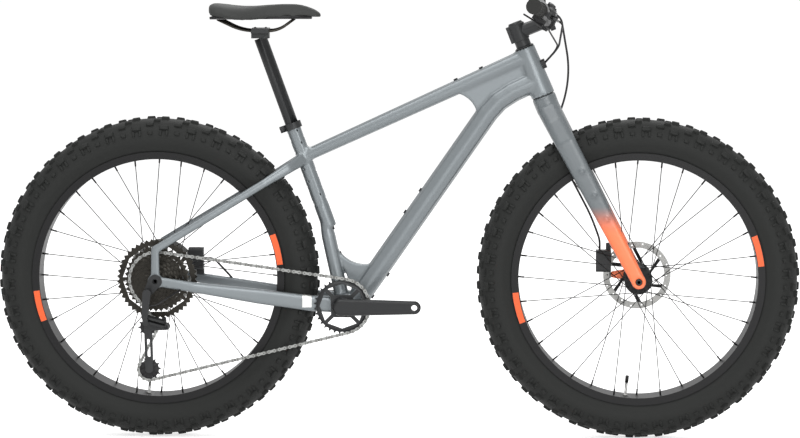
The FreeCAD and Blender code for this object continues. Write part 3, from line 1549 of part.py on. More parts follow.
def rotor(y):
    """Brake disc: drilled track, slanted arms and a hub ring."""
    low = y - s.rotor_thickness / 2
    disc = across(s.rotor_radius, low, low + s.rotor_thickness)
    track_in = s.rotor_radius - s.rotor_track
    tools = [across(s.rotor_seat_radius + s.running_clearance, low - s.cut_overrun, low + s.cut_overrun * 2)]
    span = 360 / ROTOR_ARMS
    gap = math.degrees(s.rotor_arm_width / track_in)
    inner_gap = math.degrees(s.rotor_arm_width / s.rotor_hub_radius)
    slant = span * ARM_SLANT_SHARE
    corners = [
        at_angle(s.rotor_hub_radius, inner_gap / 2, low),
        at_angle(track_in, slant + gap / 2, low),
        at_angle(track_in, slant + span / 2, low),
        at_angle(track_in, slant + span - gap / 2, low),
        at_angle(s.rotor_hub_radius, span - inner_gap / 2, low),
        at_angle(s.rotor_hub_radius, span / 2, low),
    ]
    edges = [
        Part.makeLine(corners[0], corners[1]),
        Part.Arc(corners[1], corners[2], corners[3]).toShape(),
        Part.makeLine(corners[3], corners[4]),
        Part.Arc(corners[4], corners[5], corners[0]).toShape(),
    ]
    window = Part.Face(Part.Wire(edges)).extrude(V(0, s.rotor_thickness * 2, 0))
    window.translate(V(0, -s.rotor_thickness / 2, 0))
    tools += turned_copies(window, ROTOR_ARMS)
    for row_share, shift in ROTOR_VENTS:
        place = at_angle(track_in + s.rotor_track * row_share, shift * span, low - s.cut_overrun)
        ring = ring_of(VENT_SIDES, s.rotor_hole_radius, place, Y_AXIS, X_AXIS)
        tools += turned_copies(Part.Face(ring).extrude(V(0, s.cut_overrun * 3, 0)), ROTOR_ARMS)
    return disc.cut(tools)


def hub_profile(half, left, right, barrel, bore, rotor_y):
    """Bound section of a hub shell; half is its outer end on the drive side, then the other."""
    def flange(place, outward):
        inner = f"({place}) - ({outward}) * @flange_thickness / 2"
        outer = f"({place}) + ({outward}) * @flange_thickness / 2"
        return inner, outer
    left_in, left_out = flange(left, 1)
    right_in, right_out = flange(f"-({right})", -1)
    rows = [
        (bore, half[0]),
        ("@rotor_seat_radius", half[0]),
        ("@rotor_seat_radius", right_out),
        ("@flange_radius", right_out),
        ("@flange_radius", right_in),
        ("@flange_hole_circle - @flange_thickness", right_in),
        (barrel, f"{right_in} + @flange_thickness"),
        (barrel, f"{left_in} - @flange_thickness"),
        ("@flange_hole_circle - @flange_thickness", left_in),
        ("@flange_radius", left_in),
        ("@flange_radius", left_out),
        ("@rotor_hub_radius", left_out),
        ("@rotor_hub_radius", f"{rotor_y} - @rotor_thickness / 2"),
        ("@rotor_seat_radius", f"{rotor_y} - @rotor_thickness / 2"),
        ("@rotor_seat_radius", half[1]),
        (bore, half[1]),
    ]
    return profile_of(*rows)


tyre_shape = tyre()
for name, centre, left, right, rotor_y in (
        ("front", FRONT_AXLE, s.front_flange_left, s.front_flange_right, FRONT_ROTOR_Y),
        ("rear", REAR_AXLE, s.rear_flange_left, s.rear_flange_right, REAR_ROTOR_Y)):
    feature(f"{name}_tyre", tyre_shape, hub_frame(centre))
    rim(f"{name}_rim", centre)
    feature(f"{name}_spokes", spokes(left, right), hub_frame(centre))
    feature(f"{name}_rotor", rotor(rotor_y), hub_frame(centre))
    valve(f"{name}_valve", centre)

turned_body("front_hub", hub_profile(
    ("-@front_hub_width / 2 + @end_cap_length + @seat_gap", "@front_hub_width / 2 - @end_cap_length - @seat_gap"),
    "@front_flange_left", "@front_flange_right", "@front_barrel_radius",
    "@front_axle_radius + @running_clearance", "@front_hub_width / 2 - @rotor_inset",
), hub_frame(FRONT_AXLE))
turned_body("rear_hub", hub_profile(
    ("-@rear_flange_right - @flange_thickness * 2", "@rear_hub_width / 2 - @end_cap_length - @seat_gap"),
    "@rear_flange_left", "@rear_flange_right", "@rear_barrel_radius",
    "@rear_axle_radius + @running_clearance", "@rear_hub_width / 2 - @rotor_inset",
), hub_frame(REAR_AXLE))


# Drive train

CHAIN_Y = -s.chain_line


def pitch_radius(teeth):
    """Radius of the circle through the chain's pins on a sprocket."""
    return s.chain_pitch / (2 * math.sin(math.pi / teeth))


ROOT_DEPTH = s.roller_radius + s.seat_clearance


def sprocket(teeth, turn, low, high, seats_chain=True):
    """Toothed disc; turn is the angle of one gap in degrees, and the gaps that seat rollers have a floor."""
    radius = pitch_radius(teeth)
    corners = []
    for index in range(teeth):
        gap = turn + 360 * index / teeth
        floor = at_angle(radius - ROOT_DEPTH, gap, low)
        if seats_chain:
            side = at_angle(s.gap_floor_half, gap + 90, 0)
            corners += [floor - side, floor + side]
        else:
            corners.append(floor)
        corners.append(at_angle(radius + s.tooth_height, gap + 180 / teeth, low))
    return Part.Face(Part.makePolygon(corners + corners[:1])).extrude(V(0, high - low, 0))


def windows(count, inner, outer, arm, low, high):
    """Straight-sided openings between the arms of a disc."""
    step = 360 / count
    corners = []
    for radius, sign in ((inner, -1), (outer, -1), (outer, 0), (outer, 1), (inner, 1)):
        corners.append(at_angle(radius, sign * (step - math.degrees(arm / radius)) / 2, low))
    opening = Part.Face(Part.makePolygon(corners + corners[:1])).extrude(V(0, high - low, 0))
    return turned_copies(opening, count)


# The chain runs round the cog, the chainring, the tension pulley and the guide pulley in that order.
# A turn of -1 is clockwise seen from the drive side.
CHAIN_TURNS = (-1, -1, -1, 1)


def cage_place(ahead, up, swing):
    """Point of the derailleur cage, turned about the cage pivot by an angle in degrees."""
    turn = math.radians(swing)
    return CAGE_PIVOT + V(
        ahead * math.cos(turn) - up * math.sin(turn), 0, ahead * math.sin(turn) + up * math.cos(turn))


CAGE_PIVOT = REAR_AXLE + V(s.cage_pivot_ahead_of_axle, 0, -s.cage_pivot_below_axle)


def pulley_centres(swing):
    """Centres of the guide and tension pulleys for a swing of the cage."""
    guide = cage_place(-s.guide_behind_pivot, -s.guide_below_pivot, swing)
    tension = cage_place(-s.tension_behind_pivot, -s.tension_below_pivot, swing)
    return guide, tension


def chain_path(swing):
    """Runs and arcs of the chain's pin line, as functions of length, with the total length."""
    guide, tension = pulley_centres(swing)
    centres = (REAR_AXLE, CRANK_AXIS, tension, guide)
    radii = [pitch_radius(teeth) for teeth in (CHAIN_COG_TEETH, s.ring_teeth, s.tension_teeth, s.guide_teeth)]
    runs = []
    for index in range(4):
        other = (index + 1) % 4
        span = centres[other] - centres[index]
        lean = (radii[index] * CHAIN_TURNS[index] - radii[other] * CHAIN_TURNS[other]) / span.Length
        way = math.atan2(span.z, span.x) + math.asin(lean)
        side = V(math.sin(way), 0, -math.cos(way))
        runs.append((centres[index] + side * radii[index] * CHAIN_TURNS[index],
                     centres[other] + side * radii[other] * CHAIN_TURNS[other]))
    pieces_of_path = []
    for index in range(4):
        centre, radius, turn = centres[index], radii[index], CHAIN_TURNS[index]
        first = runs[index - 1][1] - centre
        last = runs[index][0] - centre
        start = math.atan2(first.z, first.x)
        sweep = ((math.atan2(last.z, last.x) - start) * turn) % (2 * math.pi)
        pieces_of_path.append((sweep * radius, centre, radius, start, turn))
        pieces_of_path.append(((runs[index][1] - runs[index][0]).Length, runs[index][0], runs[index][1], None, None))
    return pieces_of_path


def on_path(path, length):
    """Point at a length along the chain's pin line."""
    for size, first, second, start, turn in path:
        if length <= size:
            break
        length -= size
    if start is None:
        return first + (second - first).normalize() * length
    angle = start + turn * length / second
    return first + V(second * math.cos(angle), 0, second * math.sin(angle))


def chain_pins(swing):
    """Pins one pitch apart from the middle of the cog's arc, and the number of links with its part."""
    path = chain_path(swing)
    total = sum(row[0] for row in path)
    begin = path[0][0] / 2
    place = begin
    pins = [on_path(path, place)]
    while True:
        near, far = place + s.chain_pitch, place + s.chain_pitch * 1.1
        for _ in range(40):
            middle = (near + far) / 2
            if (on_path(path, middle % total) - pins[-1]).Length < s.chain_pitch:
                near = middle
            else:
                far = middle
        if far >= begin + total - s.seat_gap:
            break
        place = far
        pins.append(on_path(path, place % total))
    return pins, len(pins) - 1 + (begin + total - place) / s.chain_pitch


SWING_LIMIT = 14


def closed_chain():
    """Swing of the cage that closes the chain on an even number of links, and its pins."""
    wanted = 2 * round(chain_pins(0)[1] / 2)
    low, high = -SWING_LIMIT, SWING_LIMIT
    rising = chain_pins(high)[1] > chain_pins(low)[1]
    for _ in range(40):
        swing = (low + high) / 2
        if (chain_pins(swing)[1] < wanted) == rising:
            low = swing
        else:
            high = swing
    pins, links = chain_pins(swing)
    print("chain links", round(links, 3), "cage swing", round(swing, 4))
    return swing, pins[:wanted]


CAGE_SWING, PINS = closed_chain()
GUIDE_CENTRE, TENSION_CENTRE = pulley_centres(CAGE_SWING)


def gap_angle(centre, teeth):
    """Angle of a tooth gap that holds the roller nearest to the middle of the wrap."""
    radius = pitch_radius(teeth)
    seated = [pin - centre for pin in PINS if abs((pin - centre).Length - radius) < s.seat_gap / 10]
    pin = seated[len(seated) // 2]
    return math.degrees(math.atan2(pin.z, pin.x))


LINK_NOSE_SHARE = 0.36
ROLLER_SIDES = 6


def link_plate(nose_share, low, high):
    """Chain plate round two pins on X, pointed by a share at its ends, or with square ends."""
    half = s.chain_plate_height / 2
    nose = half * nose_share
    corners = [
        V(-nose, low, half), V(s.chain_pitch + nose, low, half),
        V(s.chain_pitch + nose, low, -half), V(-nose, low, -half),
    ]
    if nose_share < 1:
        corners = corners[:2] + [V(s.chain_pitch + half, low, 0)] + corners[2:] + [V(-half, low, 0)]
    return Part.Face(Part.makePolygon(corners + corners[:1])).extrude(V(0, high - low, 0))


INNER_NOSE_SHARE = 1


def chain():
    """Links along the pins: inner links with rollers, outer links with plates over them."""
    inside = s.chain_inner_gap / 2
    outside = inside + s.chain_plate
    plate = link_plate(INNER_NOSE_SHARE, inside, outside)
    inner = [plate, mirrored(plate)]
    for place in (0, s.chain_pitch):
        inner.append(prism(
            ROLLER_SIDES, s.roller_radius, V(place, -inside, 0), V(place, inside, 0), X_AXIS))
    cover = outside + s.running_clearance
    plate = link_plate(LINK_NOSE_SHARE, cover, cover + s.chain_plate)
    outer = [plate, mirrored(plate)]
    links = []
    for index, (pin, ahead) in enumerate(zip(PINS, PINS[1:] + PINS[:1])):
        place = FreeCAD.Placement(V(pin.x, CHAIN_Y, pin.z), FreeCAD.Rotation(X_AXIS, ahead - pin))
        for solid in inner if index % 2 == 0 else outer:
            link = solid.copy()
            link.Placement = place.multiply(link.Placement)
            links.append(link)
    return Part.Compound(links)


feature("chain", chain())

COG_WINDOW_TEETH = 24
COG_ARMS = 5
SPLINE_SIDES = 12


def spline_bar(radius, first, last):
    """Twelve-sided bar along Y that clears a round bar of that radius."""
    return prism(
        SPLINE_SIDES, radius / math.cos(math.pi / SPLINE_SIDES), Y_AXIS * first, Y_AXIS * last, X_AXIS)


def cassette():
    """Cogs side by side on the freehub, the large ones with windows, and the lock ring."""
    cogs = []
    half = s.sprocket_thickness / 2
    for index, teeth in enumerate(COG_TEETH):
        y = CHAIN_Y + (index - COG_TEETH.index(CHAIN_COG_TEETH)) * s.cog_pitch
        turn = gap_angle(REAR_AXLE, teeth) if teeth == CHAIN_COG_TEETH else 0
        cog = sprocket(teeth, turn, y - half, y + half, teeth == CHAIN_COG_TEETH)
        tools = [spline_bar(s.freehub_radius, y - s.cog_pitch, y + s.cog_pitch)]
        if teeth > COG_WINDOW_TEETH:
            rim_radius = pitch_radius(teeth) - ROOT_DEPTH - s.cog_rim
            tools += windows(COG_ARMS, s.cog_hub_radius, rim_radius, s.cog_rim, y - half * 2, y + half * 2)
        cogs.append(cog.cut(tools))
        if index > 0:
            cogs.append(spline_bar(s.cog_spacer_radius, y - half, y - s.cog_pitch + half).cut(
                spline_bar(s.freehub_radius, y, y - s.cog_pitch)))
    end = CHAIN_Y - COG_TEETH.index(CHAIN_COG_TEETH) * s.cog_pitch - half
    ring = spline_bar(s.freehub_radius + s.cog_wall, end, end - s.lockring_width)
    cogs.append(ring.cut(spline_bar(s.end_cap_radius + s.cog_wall, end, end - s.lockring_width)))
    return cogs[0].multiFuse(cogs[1:]).removeSplitter()


feature("cassette", cassette(), hub_frame(REAR_AXLE))
FREEHUB_IN = "-@rear_flange_right - @flange_thickness * 2 - @seat_gap"
FREEHUB_OUT = "-@rear_hub_width / 2 + @end_cap_length + @seat_gap"
AXLE_BORE = "@rear_axle_radius + @running_clearance"
turned_body("freehub_body", profile_of(
    (AXLE_BORE, FREEHUB_IN),
    ("@lockring_radius", FREEHUB_IN),
    ("@lockring_radius", FREEHUB_IN + " - @end_cap_length"),
    ("@freehub_radius", FREEHUB_IN + " - @end_cap_length"),
    ("@freehub_radius", FREEHUB_OUT),
    (AXLE_BORE, FREEHUB_OUT),
), hub_frame(REAR_AXLE))

RING_ARMS = 4


def chainring():
    """Chainring with a stout web, on the right crank arm's boss."""
    half = s.sprocket_thickness / 2
    web = half * 2
    teeth = sprocket(int(s.ring_teeth), gap_angle(CRANK_AXIS, s.ring_teeth), CHAIN_Y - half, CHAIN_Y + half)
    root = pitch_radius(s.ring_teeth) - ROOT_DEPTH - s.cut_overrun
    body = teeth.fuse(across(root, CHAIN_Y - web, CHAIN_Y + web))
    tools = [across(s.ring_bore_radius, CHAIN_Y - s.chain_line, CHAIN_Y + s.chain_line)]
    tools += windows(RING_ARMS, s.ring_window_inner, s.ring_window_outer, s.rotor_arm_width,
                     CHAIN_Y - web * 2, CHAIN_Y + web * 2)
    return body.cut(tools)


feature("chainring", chainring(), hub_frame(CRANK_AXIS))

CRANK_IN = s.shell_width / 2 + s.cup_flange_width + s.seat_gap
CRANK_OUT = s.crank_offset + s.crank_thickness


def crank_arm(forward):
    """Tapered arm with its boss, on the left, towards the front or the back."""
    tip = V(forward * s.crank_length, 0, 0)
    arm = capsule(ORIGIN, tip, s.crank_boss_radius, s.crank_end_radius, s.crank_offset, CRANK_OUT)
    arm = arm.makeChamfer(s.crank_edge, [edge for edge in arm.Edges if edge.CenterOfMass.y > CRANK_OUT - s.seat_gap])
    boss = across(s.ring_bore_radius, CRANK_IN, s.crank_offset + s.crank_edge)
    hole = across(s.pedal_hole_radius, 0, CRANK_OUT * 2, tip)
    return arm.fuse(boss).cut(hole)


SPINDLE_END = CRANK_OUT - s.crank_edge
socket = across(s.spindle_radius, 0, SPINDLE_END)
feature("crank_spindle", socket.fuse(mirrored(socket)).removeSplitter(), hub_frame(CRANK_AXIS))
feature("crank_arm_right", mirrored(crank_arm(1).cut(socket)), hub_frame(CRANK_AXIS))
feature("crank_arm_left", crank_arm(-1).cut(socket), hub_frame(CRANK_AXIS))


# Rear derailleur: two links on slanted pins carry the cage across the cogs

HANGER_BOLT = REAR_AXLE + V(-s.hanger_bolt_behind_axle, 0, -s.hanger_bolt_below_axle)
HANGER_IN = -s.rear_hub_width / 2 - s.dropout_thickness
HANGER_OUT = HANGER_IN - s.hanger_thickness
SLANT = math.radians(s.slant_angle)
LINK_DOWN = V(0, math.cos(SLANT), -math.sin(SLANT))
LINK_PIN = X_AXIS.cross(LINK_DOWN)
REST = math.radians(s.link_rest_angle)
LINK_WAY = X_AXIS * math.cos(REST) + LINK_DOWN * math.sin(REST)
OUTER_TIP = CAGE_PIVOT + V(-s.cut_overrun, -s.link_tip_out, s.link_tip_rise)
OUTER_ROOT = OUTER_TIP - LINK_WAY * s.link_length
LINK_STEP = LINK_DOWN * s.link_spacing


def slanted(first, second, radius, low, high):
    """Rounded bar round two pins, between two places along the slanted pin direction."""
    span = (second - first).normalize()
    side = LINK_PIN.cross(span) * radius
    face = Part.Face(Part.makePolygon([first + side, second + side, second - side, first - side, first + side]))
    bar = face.extrude(LINK_PIN * (high - low))
    ends = [Part.makeCylinder(radius, high - low, place, LINK_PIN) for place in (first, second)]
    bar = bar.multiFuse(ends).removeSplitter()
    bar.translate(LINK_PIN * low)
    return bar


def link_pin(place, radius, low, high):
    """Pin along the slanted direction."""
    return Part.makeCylinder(radius, high - low, place + LINK_PIN * low, LINK_PIN)


def derailleur_link(root):
    """Link with a hole at each end."""
    depth = s.link_half_depth
    tip = root + LINK_WAY * s.link_length
    body = slanted(root, tip, s.link_thickness / 2, -depth, depth)
    holes = [link_pin(place, s.link_pin_radius + s.running_clearance, -depth * 2, depth * 2) for place in (root, tip)]
    return body.cut(holes)


LUG_NEAR = s.link_half_depth + s.seat_gap
LUG_FAR = LUG_NEAR + s.lug_thickness
KNUCKLE_OUT = HANGER_OUT - s.knuckle_lead


def b_knuckle():
    """Upper knuckle on the hanger bolt, with the two root pins."""
    bolt = V(HANGER_BOLT.x, 0, HANGER_BOLT.z)
    foot = V(OUTER_ROOT.x, 0, OUTER_ROOT.z)
    arm = capsule(bolt, foot, s.hanger_boss_radius, s.knuckle_radius, KNUCKLE_OUT - s.knuckle_arm, KNUCKLE_OUT)
    boss = across(s.hanger_boss_radius, HANGER_OUT, KNUCKLE_OUT, HANGER_BOLT)
    lug = slanted(OUTER_ROOT, OUTER_ROOT + LINK_STEP, s.link_thickness, -LUG_FAR, -LUG_NEAR)
    pins = [link_pin(OUTER_ROOT + LINK_STEP * step, s.link_pin_radius, -LUG_FAR, s.link_half_depth) for step in (0, 1)]
    return arm.multiFuse([boss, lug] + pins).removeSplitter()


CAGE_OUTER = CHAIN_Y - s.cage_half_gap
KNUCKLE_IN = CAGE_OUTER - s.cage_plate - s.seat_gap


def p_knuckle():
    """Lower knuckle with the two tip pins and the bored boss of the cage pivot."""
    boss = across(s.knuckle_radius, KNUCKLE_IN, KNUCKLE_IN - s.knuckle_boss, CAGE_PIVOT)
    lug = slanted(OUTER_TIP, OUTER_TIP + LINK_STEP, s.link_thickness / 2 + s.cut_overrun, LUG_NEAR, LUG_FAR)
    pins = [link_pin(OUTER_TIP + LINK_STEP * step, s.link_pin_radius, -s.link_half_depth, LUG_FAR) for step in (0, 1)]
    bore = across(s.cage_pin_radius + s.running_clearance, 0, KNUCKLE_IN * 2, CAGE_PIVOT)
    body = boss.multiFuse([lug]).cut(bore)
    return body.multiFuse(pins).removeSplitter()


CAGE_SLOT_SHARES = (0.32, 0.68)


def cage():
    """Two plates, the pulley bolts and the pivot pin."""
    outer_low = CAGE_OUTER - s.cage_plate
    inner_high = CHAIN_Y + s.cage_half_gap + s.cage_plate
    radius = s.cage_plate_radius
    pivot = V(CAGE_PIVOT.x, 0, CAGE_PIVOT.z)
    body = capsule(pivot, GUIDE_CENTRE, radius, radius, outer_low, CAGE_OUTER)
    body = body.multiFuse([
        capsule(GUIDE_CENTRE, TENSION_CENTRE, radius, radius, outer_low, CAGE_OUTER),
        capsule(GUIDE_CENTRE, TENSION_CENTRE, radius, radius, inner_high - s.cage_plate, inner_high),
        across(s.pulley_bolt_radius, outer_low, inner_high, GUIDE_CENTRE),
        across(s.pulley_bolt_radius, outer_low, inner_high, TENSION_CENTRE),
        across(s.cage_pin_radius, outer_low, outer_low - s.knuckle_boss, CAGE_PIVOT),
    ])
    lower = GUIDE_CENTRE + (TENSION_CENTRE - GUIDE_CENTRE) * CAGE_SLOT_SHARES[1]
    upper = GUIDE_CENTRE + (TENSION_CENTRE - GUIDE_CENTRE) * CAGE_SLOT_SHARES[0]
    slot = capsule(upper, lower, s.cage_slot_radius, s.cage_slot_radius, outer_low * 2, 0)
    return body.cut(slot).removeSplitter()


def pulley(teeth, centre):
    """Toothed pulley bored for its bolt."""
    half = s.pulley_thickness / 2
    body = sprocket(int(teeth), gap_angle(centre, teeth), CHAIN_Y - half, CHAIN_Y + half)
    hub_half = s.cage_half_gap - s.seat_gap
    hub = across(s.pulley_bolt_radius * 2, CHAIN_Y - hub_half, CHAIN_Y + hub_half)
    bore = across(s.pulley_bolt_radius + s.running_clearance, CHAIN_Y * 2, 0)
    return body.fuse(hub).cut(bore)


def derailleur_hanger():
    """Plate on the right dropout that holds the derailleur's bolt."""
    axle = V(REAR_AXLE.x, 0, REAR_AXLE.z)
    plate = capsule(axle, HANGER_BOLT, s.dropout_radius - s.cut_overrun, s.hanger_boss_radius, HANGER_OUT, HANGER_IN)
    return plate.cut(across(s.rear_axle_radius + s.running_clearance, HANGER_OUT * 2, 0, REAR_AXLE))


feature("derailleur_hanger", derailleur_hanger())
feature("derailleur_b_knuckle", b_knuckle())
feature("derailleur_outer_link", derailleur_link(OUTER_ROOT))
feature("derailleur_inner_link", derailleur_link(OUTER_ROOT + LINK_STEP))
feature("derailleur_p_knuckle", p_knuckle())
feature("derailleur_cage", cage())
feature("guide_pulley", pulley(s.guide_teeth, GUIDE_CENTRE), hub_frame(GUIDE_CENTRE))
feature("tension_pulley", pulley(s.tension_teeth, TENSION_CENTRE), hub_frame(TENSION_CENTRE))


# Disc brake calipers

def caliper(axle, y, ahead):
    """Caliper body with a slot for the rotor, and its two pads; ahead is +1 in front of the axle."""
    centre = axle + V(ahead * s.caliper_lead, y, s.caliper_rise)
    half = V(s.caliper_length / 2, s.caliper_width / 2, s.caliper_height / 2)
    body = block(centre - half, centre + half)
    body = body.makeFillet(s.caliper_edge, [edge for edge in body.Edges if abs(edge.tangentAt(0).x) > ALONG_SHARE])
    slot_half = V(s.caliper_length / 2, s.caliper_slot / 2, s.caliper_height)
    slot_centre = centre - V(ahead * s.caliper_bridge, 0, 0)
    body = body.cut(block(slot_centre - slot_half, slot_centre + slot_half))
    pads = []
    for side in (-1, 1):
        near = y + side * s.caliper_slot / 2
        far = y + side * (s.rotor_thickness / 2 + s.pad_gap)
        pad_half = V(s.caliper_length / 4, 0, s.caliper_height / 4)
        pads.append(block(
            V(centre.x, min(near, far), centre.z) - pad_half, V(centre.x, max(near, far), centre.z) + pad_half))
    return body, pads


def front_caliper():
    """Caliper on the two tabs of the fork."""
    body, pads = caliper(FRONT_AXLE, FRONT_ROTOR_Y, -1)
    low = FRONT_ROTOR_Y + s.post_offset - s.post_width / 2
    face = FRONT_AXLE.x - s.caliper_lead + s.caliper_length / 2
    middle = FRONT_AXLE.z + s.caliper_rise
    reach = (s.post_spacing + s.post_height) / 2
    ears = block(V(face - s.ear_length, low, middle - reach), V(face, low + s.post_width, middle + reach))
    return Part.Compound([body.fuse(ears).removeSplitter()] + pads)


def rear_caliper():
    """Caliper on a foot that follows the left chainstay."""
    body, pads = caliper(REAR_AXLE, REAR_ROTOR_Y, 1)
    low = REAR_ROTOR_Y + s.post_offset - s.post_width / 2
    middle = REAR_AXLE.x + s.caliper_lead
    bottom = REAR_AXLE.z + s.caliper_rise - s.caliper_height / 2
    foot = block(
        V(middle - s.caliper_length / 2, low, bottom - s.foot_depth),
        V(middle + s.caliper_length / 2, low + s.post_width, bottom + s.foot_depth))
    seated = body.fuse(foot).cut(left_chainstay)
    seated = max(seated.Solids, key=lambda solid: solid.Volume)
    return Part.Compound([seated.removeSplitter()] + pads)


feature("front_caliper", front_caliper())
feature("rear_caliper", rear_caliper())


# Hoses, shift housing and small fittings

HOSE_START = CONTROL_FRAME.multVec(
    V(s.master_offset, -s.master_length - s.master_radius - s.hose_start_gap, 0))
HOSE_LEAD = CONTROL_FRAME.multVec(V(s.master_offset + s.hose_bow, -s.master_length - s.hose_lead, 0))
PORT_CENTRE = CROWN + STEER_UP * s.port_rise + STEER_FORWARD * s.port_reach
HOSE_SIDES = 8


def port_cover():
    """Cover on the front of the head tube that takes the rear hose and the shift housing."""
    half = s.port_spacing + s.port_radius
    cover = block(V(0, -half, s.port_rise - half), V(s.port_reach, half, s.port_rise + half))
    cover = cover.makeFillet(s.port_radius, [edge for edge in cover.Edges if abs(edge.tangentAt(0).x) > ALONG_SHARE])
    cover.Placement = STEER_FRAME
    return max(cover.cut(frame_shape).Solids, key=lambda solid: solid.CenterOfMass.x)


port_shape = port_cover()


def cable_stretch(points, radius):
    """Held stretch of hose or housing; its bend radii are printed."""
    solid, radii = piped(points, radius, HOSE_SIDES)
    print("bend radii", [round(value) for value in radii])
    return solid


def front_hose():
    """Hose from the left lever down the back of the left leg to the caliper."""
    top = FRONT_AXLE + V(
        -s.caliper_length / 4 - s.caliper_lead, FRONT_ROTOR_Y, s.caliper_rise + s.caliper_height / 2)
    leg_way = (CROWN - STEER_UP * s.crown_depth / 2 - FRONT_AXLE).normalize()
    behind = V(-leg_way.z, 0, leg_way.x) * (s.leg_middle_depth / 2 + s.hose_leg_gap)
    low = FRONT_AXLE + leg_way * s.hose_leg_low + behind + V(0, s.leg_spread, 0)
    high = FRONT_AXLE + leg_way * s.hose_leg_high + behind + V(0, s.leg_spread + s.leg_top_width / 2, 0)
    bow = V(HOSE_LEAD.x + s.hose_bow, s.leg_spread + s.leg_top_width, (HOSE_LEAD.z + high.z) / 2)
    return cable_stretch([HOSE_START, HOSE_LEAD, bow, high, low, top + Z_AXIS * s.hose_end_run, top], s.hose_radius)


def to_port(start, lead, side, radius):
    """Stretch from a control on the right to the port on the head tube."""
    end = PORT_CENTRE + V(0, side, 0) - STEER_FORWARD * s.port_radius
    loop = end + STEER_FORWARD * s.hose_loop + STEER_UP * s.hose_loop / 2
    stretch = cable_stretch([start, lead, loop, end], radius).cut(port_shape)
    return max(stretch.Solids, key=lambda solid: solid.Volume)


def flip(point):
    """The same point on the other side of the bicycle."""
    return V(point.x, -point.y, point.z)


def rear_hose():
    """Hose from the right lever to the port, and from the left chainstay to the rear caliper."""
    front = to_port(flip(HOSE_START), flip(HOSE_LEAD), -s.port_spacing, s.hose_radius)
    middle = REAR_AXLE + V(s.caliper_lead, REAR_ROTOR_Y, s.caliper_rise)
    end = middle + V(s.caliper_length / 2, 0, 0)
    rear = cable_stretch(
        [end, end + V(s.hose_end_run, 0, 0), end + V(s.hose_drop_ahead, 0, -s.hose_drop)], s.hose_radius)
    rear = rear.cut(left_chainstay)
    return Part.Compound([front, max(rear.Solids, key=lambda solid: solid.Volume)])


def shift_housing():
    """Housing from the shifter to the port, and from the right chainstay to the derailleur."""
    start = CONTROL_FRAME.multVec(
        V(0, SHIFTER_Y - s.shifter_length - s.hose_start_gap, s.shifter_height / 4 - s.shifter_drop))
    lead = CONTROL_FRAME.multVec(V(s.hose_bow, SHIFTER_Y - s.shifter_length - s.hose_lead, -s.shifter_drop))
    front = to_port(flip(start), flip(lead), s.port_spacing, s.housing_radius)
    knuckle = (HANGER_BOLT + OUTER_ROOT) / 2
    knuckle.y = KNUCKLE_OUT - s.knuckle_arm / 2
    lead_in = knuckle + V(s.housing_lead, 0, 0)
    stay = REAR_AXLE + (CRANK_AXIS - REAR_AXLE) * s.housing_exit_share
    exit_point = V(stay.x, s.chainstay_thickness / 4 - s.chainstay_rear_spread, stay.z)
    rear = cable_stretch([knuckle, lead_in, exit_point], s.housing_radius)
    rear = rear.cut([mirrored(left_chainstay), b_knuckle()])
    return Part.Compound([front, max(rear.Solids, key=lambda solid: solid.Volume)])


feature("front_brake_hose", front_hose())
feature("rear_brake_hose", rear_hose())
feature("shift_housing", shift_housing())

# Bosses on the tubes: tube, share along it, and side of it in the middle plane
BOSS_SHARES = {
    "top": (0.694, 0.807),
    "down_upper": (0.418, 0.525),
    "seat": (0.26, 0.403),
    "down_lower": (0.062, 0.17),
}


def frame_fittings():
    """Bottle and rack bosses, the guard plate on the right chainstay, and the port cover."""
    tubes = {
        "top": (TOP_TUBE_REAR, TOP_TUBE_FRONT, 1),
        "down_upper": (DOWN_TUBE_LOW, DOWN_TUBE_HIGH, 1),
        "seat": (CRANK_AXIS, SEAT_TOP, -1),
        "down_lower": (DOWN_TUBE_LOW, DOWN_TUBE_HIGH, -1),
    }
    fittings = []
    for name, shares in BOSS_SHARES.items():
        first, last, sign = tubes[name]
        way = (last - first).normalize()
        out = V(-way.z, 0, way.x) * sign
        for share in shares:
            centre = first + (last - first) * share
            whole = rod(s.boss_radius, centre, centre + out * s.down_tube_width)
            free = max(whole.cut(frame_shape).Solids, key=lambda solid: solid.Volume)
            surface = min((vertex.Point - centre).dot(out) for vertex in free.Vertexes)
            limit = rod(s.down_tube_width, centre, centre + out * (surface + s.boss_height))
            fittings.append(free.common(limit))
    right_stay = mirrored(left_chainstay)
    skin = right_stay.copy()
    skin.translate(V(0, -s.guard_thickness, 0))
    middle = CRANK_AXIS + (REAR_AXLE - CRANK_AXIS) * s.guard_share
    half = V(s.guard_length / 2, s.chain_line, s.guard_height / 2)
    low = middle - half
    box = block(V(low.x, -s.chain_line * 2, low.z), V(low.x + s.guard_length, -s.chainstay_bb_spread, low.z + s.guard_height))
    guard = skin.common(box).cut(right_stay)
    fittings.append(max(guard.Solids, key=lambda solid: solid.Volume))
    fittings.append(port_shape)
    return Part.Compound(fittings)


feature("frame_fittings", frame_fittings())

# Check the document and write the pieces

doc.recompute()
for item in doc.Objects:
    assert not {"Invalid", "Error"} & set(item.State), item.Name
os.makedirs("parts", exist_ok=True)
for piece in pieces:
    shape = piece.Shape
    assert not shape.isNull() and shape.isValid(), piece.Label
    shape.exportStep(f"parts/{piece.Label}.step")
    print(piece.Label, len(shape.Solids), round(shape.Volume))
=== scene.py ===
"""Studio picture of a fat-tyre mountain bicycle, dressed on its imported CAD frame.

Lengths are in metres. +X is forward, +Y is the rider's left and +Z is up.
"""
from __future__ import annotations

import json
import logging
import math
from dataclasses import dataclass
from enum import Enum

